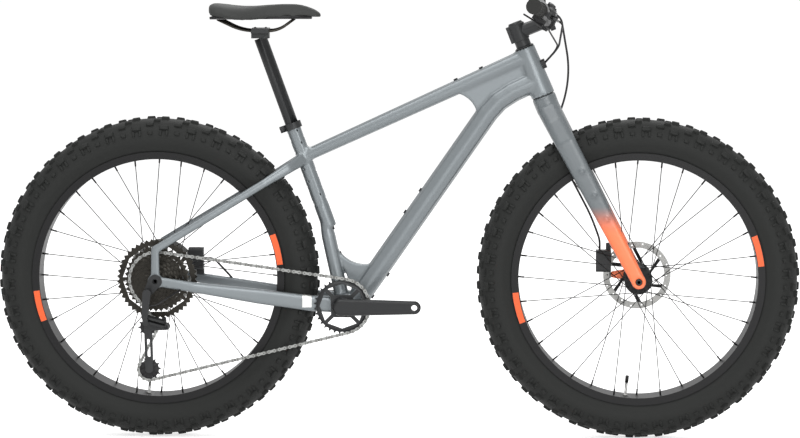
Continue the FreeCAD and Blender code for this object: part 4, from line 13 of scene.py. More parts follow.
import bpy
from mathutils import Matrix, Vector
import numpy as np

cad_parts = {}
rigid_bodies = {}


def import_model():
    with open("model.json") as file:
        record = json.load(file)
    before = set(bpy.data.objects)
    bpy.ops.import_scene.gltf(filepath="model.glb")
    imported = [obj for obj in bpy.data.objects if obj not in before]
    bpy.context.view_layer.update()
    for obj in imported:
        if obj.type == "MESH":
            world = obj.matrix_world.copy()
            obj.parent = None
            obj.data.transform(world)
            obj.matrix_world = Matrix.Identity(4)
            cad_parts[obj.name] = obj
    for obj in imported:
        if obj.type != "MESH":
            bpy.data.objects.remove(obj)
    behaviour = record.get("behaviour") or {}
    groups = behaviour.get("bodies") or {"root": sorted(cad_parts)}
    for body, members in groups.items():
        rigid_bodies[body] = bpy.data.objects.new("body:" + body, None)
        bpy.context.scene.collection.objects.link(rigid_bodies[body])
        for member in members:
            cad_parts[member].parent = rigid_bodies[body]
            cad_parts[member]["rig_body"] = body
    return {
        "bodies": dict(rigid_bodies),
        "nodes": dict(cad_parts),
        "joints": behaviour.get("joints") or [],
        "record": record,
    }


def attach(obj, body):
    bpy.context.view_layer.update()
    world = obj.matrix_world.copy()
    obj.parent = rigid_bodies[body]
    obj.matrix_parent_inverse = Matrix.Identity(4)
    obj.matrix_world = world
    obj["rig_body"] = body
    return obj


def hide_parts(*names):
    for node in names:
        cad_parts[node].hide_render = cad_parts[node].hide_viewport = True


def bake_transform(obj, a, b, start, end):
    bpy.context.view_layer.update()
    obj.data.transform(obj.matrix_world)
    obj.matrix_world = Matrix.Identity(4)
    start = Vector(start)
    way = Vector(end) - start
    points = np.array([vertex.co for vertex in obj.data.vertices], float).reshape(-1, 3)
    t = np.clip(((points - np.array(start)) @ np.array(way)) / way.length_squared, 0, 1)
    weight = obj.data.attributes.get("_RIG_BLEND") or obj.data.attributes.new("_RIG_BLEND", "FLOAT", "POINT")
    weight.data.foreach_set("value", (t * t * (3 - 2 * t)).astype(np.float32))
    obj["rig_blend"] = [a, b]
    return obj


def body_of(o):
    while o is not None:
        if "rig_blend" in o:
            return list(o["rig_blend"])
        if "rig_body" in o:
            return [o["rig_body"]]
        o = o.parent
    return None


LOG = logging.getLogger("fat_tyre_bike")
MM = 0.001

# The wheels' centres stand half a wheelbase from the middle.
AXLE_X = 565 * MM
AXLE_Z = 380.5 * MM

# Points nearer than these are one point: in drawn pieces, in copies of CAD nodes and in the saddle's rings.
MERGE = 0.01 * MM
FINE_MERGE = 0.002 * MM
RING_MERGE = 0.001 * MM

# Share of the way to its neighbours that a point moves in one pass of smoothing.
RELAX = 0.5

# Depth of a surface's fine grain, and how many finer layers it has.
GRAIN_DEPTH = 0.2 * MM
GRAIN_DETAIL = 2.0

FULL_TURN = 2 * math.pi
ALONG_Y = Vector((0, 1, 0))


class Side(Enum):
    """Side of the bicycle along Y."""

    LEFT = 1
    RIGHT = -1


class Blend(Enum):
    """How a finish passes from its first colour to its second one."""

    NONE = "none"
    HEIGHT = "height"
    RADIUS = "radius"


def linear(code: str) -> tuple[float, float, float, float]:
    """Turn an sRGB hex code into linear colour values.

    Args:
        code: Six hex digits with a leading hash.

    Returns:
        Red, green, blue and alpha for a shader socket.
    """
    values = []
    for start in (1, 3, 5):
        share = int(code[start:start + 2], 16) / 255
        values.append(share / 12.92 if share <= 0.04045 else ((share + 0.055) / 1.055) ** 2.4)
    return (*values, 1.0)


def add_node(
        tree: bpy.types.NodeTree, kind: str, settings: dict[str, str] | None = None,
        links: dict[str | int, bpy.types.NodeSocket] | None = None, **values: object) -> bpy.types.Node:
    """Add a shader node with its settings, socket values and links.

    Args:
        tree: Node tree of a material or world.
        kind: Blender's name of the node type.
        settings: Choices of the node itself, such as its operation.
        links: Output sockets to link, by the name or number of the input.
        values: Socket names, with underscores for spaces, and their values.

    Returns:
        The new node.
    """
    node = tree.nodes.new(kind)
    for name, value in (settings or {}).items():
        setattr(node, name, value)
    for name, value in values.items():
        node.inputs[name.replace("_", " ")].default_value = value
    for name, source in (links or {}).items():
        tree.links.new(source, node.inputs[name])
    return node


@dataclass(frozen=True)
class Finish:
    """Surface finish of a real material, and how it looks."""

    name: str
    slot: str
    colour: str
    roughness: float
    metallic: float = 0.0
    coat: float = 0.0
    grain_mm: float = 0.6
    bump: float = 0.04
    specular: float = 0.5
    coat_roughness: float = 0.25
    second: str = ""
    blend: Blend = Blend.NONE
    start: float = 0.0
    end: float = 0.0
    centre: tuple[float, float, float] = (0.0, 0.0, 0.0)

    def material(self) -> bpy.types.Material:
        """Build the material, or give the one already built.

        Returns:
            The Blender material of this finish.
        """
        found = bpy.data.materials.get(self.name)
        if found:
            return found
        made = bpy.data.materials.new(self.name)
        made.use_nodes = True
        tree = made.node_tree
        shader = tree.nodes["Principled BSDF"]
        shader.inputs["Base Color"].default_value = linear(self.colour)
        shader.inputs["Roughness"].default_value = self.roughness
        shader.inputs["Metallic"].default_value = self.metallic
        shader.inputs["Specular IOR Level"].default_value = self.specular
        shader.inputs["Coat Weight"].default_value = self.coat
        shader.inputs["Coat Roughness"].default_value = self.coat_roughness
        place = add_node(tree, "ShaderNodeTexCoord").outputs["Object"]
        noise = add_node(
            tree, "ShaderNodeTexNoise", links={"Vector": place},
            Scale=1 / (self.grain_mm * MM), Detail=GRAIN_DETAIL)
        bump = add_node(
            tree, "ShaderNodeBump", links={"Height": noise.outputs["Fac"]},
            Strength=self.bump, Distance=GRAIN_DEPTH)
        tree.links.new(bump.outputs["Normal"], shader.inputs["Normal"])
        if self.blend is not Blend.NONE:
            self._link_second(tree, place, shader)
        return made

    def _link_second(
            self, tree: bpy.types.NodeTree, place: bpy.types.NodeSocket, shader: bpy.types.Node) -> None:
        """Blend to the second colour by height or by distance from a centre line along Y.

        Args:
            tree: Node tree of the material.
            place: Socket of the object coordinates.
            shader: Surface shader whose base colour is linked.
        """
        moved = add_node(
            tree, "ShaderNodeMapping", links={"Vector": place}, Location=[-value for value in self.centre])
        measure = moved.outputs["Vector"]
        if self.blend is Blend.HEIGHT:
            measure = add_node(tree, "ShaderNodeSeparateXYZ", links={"Vector": measure}).outputs["Z"]
        else:
            flat = add_node(tree, "ShaderNodeVectorMath", {"operation": "MULTIPLY"}, {0: measure})
            flat.inputs[1].default_value = (1.0, 0.0, 1.0)
            length = add_node(
                tree, "ShaderNodeVectorMath", {"operation": "LENGTH"}, {0: flat.outputs["Vector"]})
            measure = length.outputs["Value"]
        span = add_node(
            tree, "ShaderNodeMapRange", {"interpolation_type": "SMOOTHSTEP"}, {"Value": measure},
            From_Min=self.start, From_Max=self.end)
        mix = add_node(
            tree, "ShaderNodeMix", {"data_type": "RGBA"}, {"Factor": span.outputs["Result"]})
        first, second = [socket for socket in mix.inputs if socket.type == "RGBA"]
        first.default_value = linear(self.colour)
        second.default_value = linear(self.second)
        result = next(socket for socket in mix.outputs if socket.type == "RGBA")
        tree.links.new(result, shader.inputs["Base Color"])


# Satin grey paint: soft wide highlights on the tubes.
FRAME_PAINT = Finish("satin_grey_paint", "frame_paint", "#747a7d", 0.4, 0.5, 0.3, bump=0.01)
# The fork's paint fades from orange at the tips to the frame's grey above.
FORK_PAINT = Finish(
    "faded_fork_paint", "fork_paint", "#ff7b4a", 0.4, 0.1, 0.3, bump=0.01,
    second="#646a6d", blend=Blend.HEIGHT, start=0.49, end=0.56)
# Tyre rubber: dull, a little dusty.
TYRE_RUBBER = Finish(
    "dull_tyre_rubber", "tyre_rubber", "#282928", 0.62, grain_mm=0.8, bump=0.15, specular=0.15)
# Bead-blasted and anodised rim: black with a soft, even sheen.
RIM_BLACK = Finish("black_anodised_rim", "rim_black", "#121213", 0.45, 0.2, specular=0.3)
# Plain orange film on the rim's sides: flat, even colour.
RIM_FILM = Finish("orange_film", "rim_black", "#f2622c", 0.45)
# Black-coated steel spokes: thin dark lines with little shine.
SPOKE_STEEL = Finish("black_spoke_steel", "spoke_steel", "#19191a", 0.45, 0.2, specular=0.3)
# Black anodised alloy of stem, bar, hubs and brakes: dark, with satin edges.
BLACK_ALLOY = Finish(
    "black_anodised_alloy", "black_alloy", "#28292a", 0.42, 0.3, grain_mm=0.4, specular=0.4)
# Polished and anodised alloy of the crank arms: darker than the rest, with a sharper sheen.
CRANK_ALLOY = Finish("dark_anodised_alloy", "black_alloy", "#1e1f20", 0.36, 0.4, grain_mm=0.4)
# Heat-treated steel of cogs and saddle rails: dark, with a bronze tinge.
DARK_STEEL = Finish("cog_steel", "dark_steel", "#2c2a26", 0.38, 0.85)
# Ground steel of the chainstay's guard plate: nearly white.
BRIGHT_STEEL = Finish("ground_steel", "bright_steel", "#d6d7d4", 0.3, 0.7)
# Plated outer plates of the chain: bright and smooth.
CHAIN_STEEL = Finish("plated_chain_steel", "bright_steel", "#8f908e", 0.3, 0.9)
# Plain steel of the chain's pins and inner plates: darker than the outer plates beside them.
PIN_STEEL = Finish("dark_pin_steel", "bright_steel", "#666664", 0.36, 0.85)
# Moulded nylon of hoses, shifter, pulleys and small fittings: black with a faint grain.
BLACK_PLASTIC = Finish(
    "black_nylon", "black_plastic", "#1e1e1f", 0.5, grain_mm=0.5, bump=0.08, specular=0.3)
# Moulded grip rubber: matt black.
GRIP_RUBBER = Finish(
    "soft_grip_rubber", "grip_rubber", "#2a2a29", 0.68, grain_mm=0.9, bump=0.2, specular=0.2)
# Embossed synthetic saddle cover: matt, a little greyer than the rubber.
SADDLE_COVER = Finish(
    "matt_saddle_cover", "saddle_cover", "#393a39", 0.6, grain_mm=1.1, bump=0.18, specular=0.2)


def rotor_finish(name: str, centre: Vector) -> Finish:
    """Black spider inside, bright track outside.

    Args:
        name: Name of the material.
        centre: Wheel centre.

    Returns:
        Finish that changes at the inner edge of the brake track.
    """
    return Finish(
        name, "bright_steel", "#1d1d1e", 0.32, 0.9, second="#8c8c8a", blend=Blend.RADIUS,
        start=0.0645, end=0.0655, centre=tuple(centre))


def valve_finish(name: str, centre: Vector) -> Finish:
    """Black cap near the hub, bright stem near the rim.

    Args:
        name: Name of the material.
        centre: Wheel centre.

    Returns:
        Finish that changes where the cap ends.
    """
    return Finish(
        name, "bright_steel", "#151515", 0.35, 0.6, second="#c0c0be", blend=Blend.RADIUS,
        start=0.2495, end=0.2505, centre=tuple(centre))


def select_only(piece: bpy.types.Object) -> None:
    """Make one object the only selected and active one.

    Args:
        piece: Object to select.
    """
    bpy.ops.object.select_all(action="DESELECT")
    piece.select_set(True)
    bpy.context.view_layer.objects.active = piece


def in_edit_mode(piece: bpy.types.Object) -> None:
    """Open one object in edit mode with everything selected.

    Args:
        piece: Mesh object.
    """
    select_only(piece)
    bpy.ops.object.mode_set(mode="EDIT")
    bpy.ops.mesh.select_mode(type="VERT")
    bpy.ops.mesh.select_all(action="SELECT")


def leave_edit_mode() -> None:
    """Go back to object mode."""
    bpy.ops.object.mode_set(mode="OBJECT")


def deselect_mesh(piece: bpy.types.Object) -> None:
    """Deselect every point and face of one object's mesh.

    Args:
        piece: Mesh object.
    """
    in_edit_mode(piece)
    bpy.ops.mesh.select_all(action="DESELECT")
    leave_edit_mode()


def settle(piece: bpy.types.Object) -> None:
    """Put an object's place into its mesh."""
    select_only(piece)
    bpy.ops.object.transform_apply(location=True, rotation=True, scale=True)


def join(pieces: list[bpy.types.Object], name: str) -> bpy.types.Object:
    """Join objects into the first one.

    Args:
        pieces: Mesh objects.
        name: Name of the joined object.

    Returns:
        The joined object.
    """
    select_only(pieces[0])
    for piece in pieces[1:]:
        piece.select_set(True)
    bpy.ops.object.join()
    pieces[0].name = name
    return pieces[0]


def clean(piece: bpy.types.Object) -> None:
    """Merge doubled points and turn the faces outwards.

    Args:
        piece: Mesh object.
    """
    in_edit_mode(piece)
    bpy.ops.mesh.remove_doubles(threshold=MERGE)
    bpy.ops.mesh.normals_make_consistent(inside=False)
    leave_edit_mode()


def smooth(piece: bpy.types.Object, degrees: float) -> None:
    """Shade smooth, with edges kept sharp where the faces meet at more than an angle."""
    select_only(piece)
    bpy.ops.object.shade_smooth_by_angle(angle=math.radians(degrees))


def paint(piece: bpy.types.Object, finish: Finish) -> None:
    """Give a piece one finish.

    Args:
        piece: Mesh object.
        finish: Finish to use.
    """
    piece.data.materials.clear()
    piece.data.materials.append(finish.material())


def add_modifier(piece: bpy.types.Object, kind: str, **values: object) -> None:
    """Add a modifier, set it and apply it.

    Args:
        piece: Mesh object.
        kind: Blender's name of the modifier type.
        values: Settings of the modifier.
    """
    select_only(piece)
    modifier = piece.modifiers.new(kind.lower(), kind)
    for name, value in values.items():
        setattr(modifier, name, value)
    bpy.ops.object.modifier_apply(modifier=modifier.name)


def drawn_line(name: str, points: list[Vector]) -> bpy.types.Object:
    """Draw a line by pulling one point along.

    Args:
        name: Name of the object.
        points: Places of the line's points.

    Returns:
        A mesh object of edges, open in edit mode with everything selected.
    """
    bpy.ops.mesh.primitive_plane_add(size=MM, location=(0, 0, 0))
    piece = bpy.context.active_object
    piece.name = name
    in_edit_mode(piece)
    bpy.ops.mesh.merge(type="CENTER")
    bpy.ops.transform.translate(value=points[0])
    for before, after in zip(points, points[1:]):
        bpy.ops.mesh.extrude_vertices_move(TRANSFORM_OT_translate={"value": after - before})
    bpy.ops.mesh.select_all(action="SELECT")
    return piece


def turned(name: str, points: list[Vector], centre: Vector, axis: Vector, steps: int) -> bpy.types.Object:
    """Turn a drawn line round an axis into a closed skin.

    Args:
        name: Name of the object.
        points: Line to turn.
        centre: Point on the axis.
        axis: Direction of the axis.
        steps: Number of faces round.

    Returns:
        The turned mesh object, in object mode.
    """
    piece = drawn_line(name, points)
    bpy.ops.mesh.spin(steps=steps, angle=FULL_TURN, center=centre, axis=axis)
    leave_edit_mode()
    clean(piece)
    return piece


@dataclass
class Bicycle:
    """The loaded CAD frame that every sub-assembly is dressed on."""

    frame: dict
    cast_passes: int = 4

    def body(self, node: str) -> str:
        """Name of the body that a CAD node belongs to."""
        return body_of(self.frame["nodes"][node])[0]

    def skin(self, node: str, finish: Finish, degrees: float = 32.0) -> bpy.types.Object:
        """Stand a merged, smooth copy in for a CAD node.

        Args:
            node: Name of the CAD node.
            finish: Finish of the copy.
            degrees: Angle above which an edge stays sharp.

        Returns:
            The copy, riding on the node's body.
        """
        piece = self.copy_of([node], node + "_skin")
        smooth(piece, degrees)
        paint(piece, finish)
        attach(piece, self.body(node))
        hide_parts(node)
        return piece

    def copy_of(self, nodes: list[str], name: str) -> bpy.types.Object:
        """Copy CAD nodes into one merged mesh.

        Args:
            nodes: Names of the CAD nodes.
            name: Name of the copy.

        Returns:
            The merged copy.
        """
        copies = []
        for node in nodes:
            copy = bpy.data.objects.new(name, self.frame["nodes"][node].data.copy())
            bpy.context.scene.collection.objects.link(copy)
            copies.append(copy)
        piece = join(copies, name)
        in_edit_mode(piece)
        bpy.ops.mesh.remove_doubles(threshold=FINE_MERGE)
        leave_edit_mode()
        return piece

    def cast(self, node: str, finish: Finish, voxel: float = 0.9 * MM) -> bpy.types.Object:
        """Stand a forging with rounded edges in for a CAD node.

        Args:
            node: Name of the CAD node.
            finish: Finish of the forging.
            voxel: Size of the remesh, about half the rounding.

        Returns:
            The forging, riding on the node's body.
        """
        piece = self.melted([node], node + "_forging", voxel, self.cast_passes)
        paint(piece, finish)
        return piece

    def melted(self, nodes: list[str], name: str, voxel: float, repeat: int) -> bpy.types.Object:
        """Melt CAD nodes into one moulding with soft joints.

        Args:
            nodes: Names of the CAD nodes, all on one body.
            name: Name of the moulding.
            voxel: Size of the remesh.
            repeat: Passes of smoothing.

        Returns:
            The moulding, riding on the nodes' body.
        """
        piece = self.copy_of(nodes, name)
        add_modifier(piece, "REMESH", mode="VOXEL", voxel_size=voxel)
        add_modifier(piece, "SMOOTH", factor=RELAX, iterations=repeat)
        select_only(piece)
        bpy.ops.object.shade_smooth()
        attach(piece, self.body(nodes[0]))
        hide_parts(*nodes)
        return piece


@dataclass
class FrameSet:
    """Painted frame and fork."""

    voxel: float = 2.6 * MM
    passes: int = 6
    fork_passes: int = 14
    guard_span: tuple[float, float] = (-0.27, -0.15)
    guard_top: float = 0.4

    def dress(self, bike: Bicycle) -> None:
        """Melt the tubes together and paint them.

        Args:
            bike: The loaded bicycle.
        """
        moulding = bike.melted(
            ["front_triangle", "chainstay_left", "chainstay_right", "seatstay_left", "seatstay_right"],
            "frame_moulding", self.voxel, self.passes)
        paint(moulding, FRAME_PAINT)
        fork = bike.melted(["fork"], "fork_moulding", self.voxel, self.fork_passes)
        paint(fork, FORK_PAINT)
        for node in ("headset_bearings", "bottom_bracket", "seat_collar", "rear_axle", "front_axle",
                     "derailleur_hanger"):
            bike.skin(node, BLACK_ALLOY)
        self.fittings(bike)

    def fittings(self, bike: Bicycle) -> None:
        """Make the bosses and the hose port black and the chainstay's guard plate bright.

        Args:
            bike: The loaded bicycle.
        """
        dark = bike.skin("frame_fittings", BLACK_PLASTIC)
        deselect_mesh(dark)
        low, high = self.guard_span
        for polygon in dark.data.polygons:
            polygon.select = low < polygon.center.x < high and polygon.center.z < self.guard_top
        bpy.ops.object.mode_set(mode="EDIT")
        bpy.ops.mesh.separate(type="SELECTED")
        leave_edit_mode()
        plate = next(piece for piece in bpy.context.selected_objects if piece is not dark)
        plate.name = "chainstay_guard"
        paint(plate, BRIGHT_STEEL)
        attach(plate, bike.body("frame_fittings"))
        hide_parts("frame_fittings")


@dataclass
class Knob:
    """One block of tread rubber."""

    turn: float
    ahead: float
    length: float
    width: float
    height: float
    top_share: float = 0.8

    def build(self, casing: Casing, side: Side, pitch: float) -> bpy.types.Object:
        """Model the block on the casing.

        Args:
            casing: Casing that it stands on.
            side: Side of the tyre.
            pitch: Angle of one pitch of the tread.

        Returns:
            The block at the top of the tyre, turned by its share of the pitch.
        """
        bpy.ops.mesh.primitive_cube_add(size=1)
        block = bpy.context.active_object
        block.scale = (self.length, self.width, self.height + casing.sink)
        settle(block)
        deselect_mesh(block)
        for vertex in block.data.vertices:
            vertex.select = vertex.co.z > 0
        bpy.ops.object.mode_set(mode="EDIT")
        bpy.ops.transform.resize(value=(self.top_share, self.top_share, 1.0))
        leave_edit_mode()
        turn = self.turn * side.value
        point, normal = casing.at(turn)
        block.location = point + normal * (self.height - casing.sink) / 2
        block.rotation_euler = (-math.atan2(normal.y, normal.z), 0, 0)
        settle(block)
        share = self.ahead if side is Side.LEFT else -self.ahead
        block.data.transform(
            Matrix.Translation(casing.centre)
            @ Matrix.Rotation(share * pitch, 4, "Y")
            @ Matrix.Translation(-casing.centre))
        return block


@dataclass
class Casing:
    """Round skin of a fat tyre."""

    centre: Vector
    crown: float = 375 * MM
    widest: float = 331 * MM
    half: float = 48.5 * MM
    bead: float = 297.5 * MM
    bead_half: float = 36 * MM
    sink: float = 2 * MM
    steps: int = 136
    section_steps: int = 12
    section_turn: float = math.radians(9.2)

    def at(self, turn: float) -> tuple[Vector, Vector]:
        """Place and outward direction on the section above the axle.

        Args:
            turn: Angle round the section from the crown, in radians.

        Returns:
            The point and the unit normal.
        """
        rise = self.crown - self.widest
        point = self.centre + Vector((0, self.half * math.sin(turn), self.widest + rise * math.cos(turn)))
        normal = Vector((0, rise * math.sin(turn), self.half * math.cos(turn))).normalized()
        return point, normal

    def build(self, name: str) -> bpy.types.Object:
        """Turn the section round the axle.

        Args:
            name: Name of the object.

        Returns:
            The closed casing.
        """
        points = [self.centre + Vector((0, -self.bead_half, self.bead))]
        for step in range(-self.section_steps, self.section_steps + 1):
            points.append(self.at(step * self.section_turn)[0])
        points.append(self.centre + Vector((0, self.bead_half, self.bead)))
        points.append(points[0].copy())
        return turned(name, points, self.centre, ALONG_Y, self.steps)


# From the crown to the shoulder: turn round the section, share of the pitch ahead, length, width and height.
TREAD = (
    Knob(math.radians(9), -0.25, 21 * MM, 11 * MM, 5 * MM),
    Knob(math.radians(27), 0.02, 17 * MM, 11 * MM, 5 * MM),
    Knob(math.radians(45), 0.26, 19 * MM, 11 * MM, 5.5 * MM),
    Knob(math.radians(58), -0.25, 23 * MM, 13 * MM, 6.5 * MM),
    Knob(math.radians(72), 0.25, 12 * MM, 10 * MM, 4.5 * MM),
    Knob(math.radians(73), -0.37, 6 * MM, 15 * MM, 4 * MM),
    Knob(math.radians(73), -0.13, 6 * MM, 15 * MM, 4 * MM),
)


@dataclass
class Wheel:
    """Tyre, rim, spokes, hub, disc and valve of one end."""

    end: str
    centre: Vector
    pitches: int = 34
    knob_bevel: float = 0.8 * MM
    film_inner: float = 282.5 * MM
    film_outer: float = 296.5 * MM
    film_y: float = 40.15 * MM
    film_thickness: float = 0.2 * MM
    film_steps: int = 14
    film_arc: float = math.radians(14.5)
    film_turns: tuple[float, float] = (math.radians(13.7), math.radians(193.5))

    def dress(self, bike: Bicycle) -> None:
        """Model the tread and the film, and finish the rest.

        Args:
            bike: The loaded bicycle.
        """
        body = bike.body(f"{self.end}_tyre")
        tyre = self.tyre()
        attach(tyre, body)
        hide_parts(f"{self.end}_tyre")
        film = self.film()
        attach(film, body)
        bike.skin(f"{self.end}_rim", RIM_BLACK)
        bike.skin(f"{self.end}_spokes", SPOKE_STEEL, degrees=80.0)
        bike.skin(f"{self.end}_hub", BLACK_ALLOY)
        bike.skin(f"{self.end}_rotor", rotor_finish(f"{self.end}_disc_steel", self.centre))
        bike.skin(f"{self.end}_valve", valve_finish(f"{self.end}_valve_brass", self.centre), degrees=50.0)

    def tyre(self) -> bpy.types.Object:
        """Casing with its tread of repeated blocks.

        Returns:
            The tyre in one mesh.
        """
        casing = Casing(self.centre)
        skin = casing.build(f"{self.end}_tyre_rubber")
        pitch = FULL_TURN / self.pitches
        blocks = [knob.build(casing, side, pitch) for knob in TREAD for side in Side]
        tread = join(blocks, f"{self.end}_tread")
        add_modifier(tread, "BEVEL", width=self.knob_bevel, segments=1, limit_method="ANGLE")
        in_edit_mode(tread)
        bpy.ops.mesh.spin(
            steps=self.pitches, dupli=True, angle=FULL_TURN, center=self.centre, axis=ALONG_Y)
        bpy.ops.mesh.select_all(action="SELECT")
        bpy.ops.mesh.remove_doubles(threshold=FINE_MERGE)
        leave_edit_mode()
        tyre = join([skin, tread], f"{self.end}_tyre_rubber")
        smooth(tyre, degrees=40.0)
        paint(tyre, TYRE_RUBBER)
        return tyre

    def film(self) -> bpy.types.Object:
        """Two plain strips of film on each side of the rim.

        Returns:
            The strips in one mesh.
        """
        strips = []
        for side in Side:
            for turn in self.film_turns:
                begin = turn - self.film_arc / 2
                way = Vector((math.cos(begin), 0, math.sin(begin)))
                offset = Vector((0, side.value * self.film_y, 0))
                ends = [self.centre + offset + way * radius for radius in (self.film_inner, self.film_outer)]
                strip = drawn_line("strip", ends)
                bpy.ops.mesh.spin(
                    steps=self.film_steps, angle=self.film_arc, center=self.centre, axis=ALONG_Y)
                leave_edit_mode()
                strips.append(strip)
        film = join(strips, f"{self.end}_rim_film")
        clean(film)
        add_modifier(film, "SOLIDIFY", thickness=self.film_thickness, offset=0.0)
        paint(film, RIM_FILM)
        return film


@dataclass
class SaddleRow:
    """One cross section of the saddle's cover: its place along X, half width, top and base."""

    place: float
    half: float
    top: float
    base: float


# From tail to nose: wide and deep over the sit bones, thin behind the nose, then dropping.
SADDLE_ROWS = (
    SaddleRow(-0.4450, 0.036, 1.0190, 1.0015),
    SaddleRow(-0.4420, 0.050, 1.0225, 0.9975),
    SaddleRow(-0.4295, 0.064, 1.0240, 0.9945),
    SaddleRow(-0.4065, 0.070, 1.0220, 0.9915),
    SaddleRow(-0.3835, 0.068, 1.0190, 0.9875),
    SaddleRow(-0.3595, 0.059, 1.0175, 0.9860),
    SaddleRow(-0.3335, 0.046, 1.0180, 0.9875),
    SaddleRow(-0.3045, 0.034, 1.0205, 0.9910),
    SaddleRow(-0.2715, 0.026, 1.0225, 0.9945),
    SaddleRow(-0.2395, 0.022, 1.0225, 0.9955),
    SaddleRow(-0.2135, 0.0205, 1.0190, 0.9945),
    SaddleRow(-0.1945, 0.019, 1.0130, 0.9930),
    SaddleRow(-0.1825, 0.0155, 1.0060, 0.9925),
    SaddleRow(-0.1775, 0.009, 1.0000, 0.9930),
)
# Half of a section, from the middle of the top to the hem and under it: shares of width and of depth.
SADDLE_SECTION = (
    (0.0, 0.97), (0.14, 1.0), (0.36, 0.985), (0.60, 0.92), (0.80, 0.79), (0.94, 0.58), (1.0, 0.34),
    (0.97, 0.10), (0.90, 0.0), (0.80, 0.06), (0.70, 0.30), (0.0, 0.36))


@dataclass
class Saddle:
    """Padded saddle on its post."""

    voxel: float = 4 * MM
    pressure: float = 4.0
    frames: int = 20
    cap: float = 2.5 * MM
    soft_passes: int = 3
    fill: float = 0.8

    def dress(self, bike: Bicycle) -> None:
        """Swell the pad and finish the rest.

        Args:
            bike: The loaded bicycle.
        """
        pad = self.cover()
        self.swell(pad)
        add_modifier(pad, "SMOOTH", factor=RELAX, iterations=self.soft_passes)
        add_modifier(pad, "SUBSURF", levels=1, render_levels=1)
        select_only(pad)
        bpy.ops.object.shade_smooth()
        paint(pad, SADDLE_COVER)
        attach(pad, bike.body("saddle_pad"))
        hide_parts("saddle_pad")
        bike.skin("saddle_shell", BLACK_PLASTIC)
        bike.skin("saddle_rails", DARK_STEEL, degrees=60.0)
        bike.cast("saddle_clamp", BLACK_ALLOY)
        bike.skin("seatpost", BLACK_ALLOY)

    def cover(self) -> bpy.types.Object:
        """Bridge the cross sections into one closed cover.

        Returns:
            The cover before it is swollen.
        """
        rings = []
        for row in SADDLE_ROWS:
            half = [Vector((row.place, row.half * out, row.base + (row.top - row.base) * up))
                    for out, up in SADDLE_SECTION]
            other = [Vector((point.x, -point.y, point.z)) for point in half[-2:0:-1]]
            ring = drawn_line("ring", half + other + [half[0].copy()])
            bpy.ops.mesh.remove_doubles(threshold=RING_MERGE)
            leave_edit_mode()
            rings.append(ring)
        pad = join(rings, "saddle_cover")
        in_edit_mode(pad)
        bpy.ops.mesh.bridge_edge_loops()
        bpy.ops.mesh.select_all(action="DESELECT")
        bpy.ops.mesh.select_non_manifold()
        bpy.ops.mesh.fill()
        leave_edit_mode()
        clean(pad)
        add_modifier(pad, "REMESH", mode="VOXEL", voxel_size=self.voxel)
        add_modifier(pad, "SMOOTH", factor=RELAX, iterations=self.soft_passes)
        return pad

    def swell(self, pad: bpy.types.Object) -> None:
        """Press the cover outwards as cloth, no further than the cap.

        Args:
            pad: Cover to swell.
        """
        before = [vertex.co.copy() for vertex in pad.data.vertices]
        select_only(pad)
        cloth = pad.modifiers.new("cloth", "CLOTH")
        cloth.settings.use_pressure = True
        cloth.settings.uniform_pressure_force = self.pressure
        cloth.settings.effector_weights.gravity = 0.0
        for frame in range(1, self.frames + 1):
            bpy.context.scene.frame_set(frame)
        bpy.ops.object.modifier_apply(modifier=cloth.name)
        bpy.context.scene.frame_set(1)
        for vertex, start in zip(pad.data.vertices, before):
            move = vertex.co - start
            if move.length > self.cap:
                vertex.co = start + move.normalized() * self.cap


@dataclass
class Cockpit:
    """Bar, stem, grips and controls."""

    bar_end: Vector
    bar_out: Vector
    grip_length: float = 132 * MM
    grip_sides: int = 36
    ribs: int = 22
    radius: float = 15.2 * MM
    rib: float = 0.9 * MM
    bore: float = 11.1 * MM
    collar: float = 17.8 * MM
    collar_width: float = 4 * MM
    ribs_from: float = 5 * MM
    cap: float = 1.5 * MM

    def dress(self, bike: Bicycle) -> None:
        """Turn the grips and finish the rest.

        Args:
            bike: The loaded bicycle.
        """
        grips = join([self.grip(side) for side in Side], "ribbed_grips")
        clean(grips)
        smooth(grips, degrees=40.0)
        paint(grips, GRIP_RUBBER)
        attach(grips, bike.body("grips"))
        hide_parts("grips")
        for node in ("stem", "stem_faceplate", "brake_masters"):
            bike.cast(node, BLACK_ALLOY)
        for node in ("handlebar", "headset_spacers", "brake_lever_left", "brake_lever_right"):
            bike.skin(node, BLACK_ALLOY)
        bike.cast("shifter_body", BLACK_PLASTIC)
        for node in ("shift_paddle_thumb", "shift_paddle_release"):
            bike.skin(node, BLACK_PLASTIC)

    def grip(self, side: Side) -> bpy.types.Object:
        """Turn one ribbed grip.

        Args:
            side: Side of the bar.

        Returns:
            The grip.
        """
        flip = Vector((1, side.value, 1))
        end = self.bar_end * flip
        out = self.bar_out * flip
        lift = out.cross(Vector((1, 0, 0))).normalized()
        last = self.grip_length
        start = end - out * last
        rows = [(0.0, self.bore), (0.0, self.collar), (self.collar_width, self.collar)]
        rows.append((self.ribs_from, self.radius))
        step = (last - 2 * self.ribs_from) / self.ribs
        valley = self.radius - self.rib
        for index in range(self.ribs):
            place = self.ribs_from + step * (index + 0.5)
            rows += [(place - step * 0.3, self.radius), (place - step * 0.15, valley)]
            rows += [(place + step * 0.15, valley), (place + step * 0.3, self.radius)]
        rows += [(last - self.ribs_from, self.radius), (last - self.collar_width, self.collar)]
        rows += [(last + self.cap, self.collar), (last + self.cap, 0.0)]
        points = [start + out * place + lift * radius for place, radius in rows]
        return turned(f"grip_{side.name.lower()}", points, start, out, self.grip_sides)


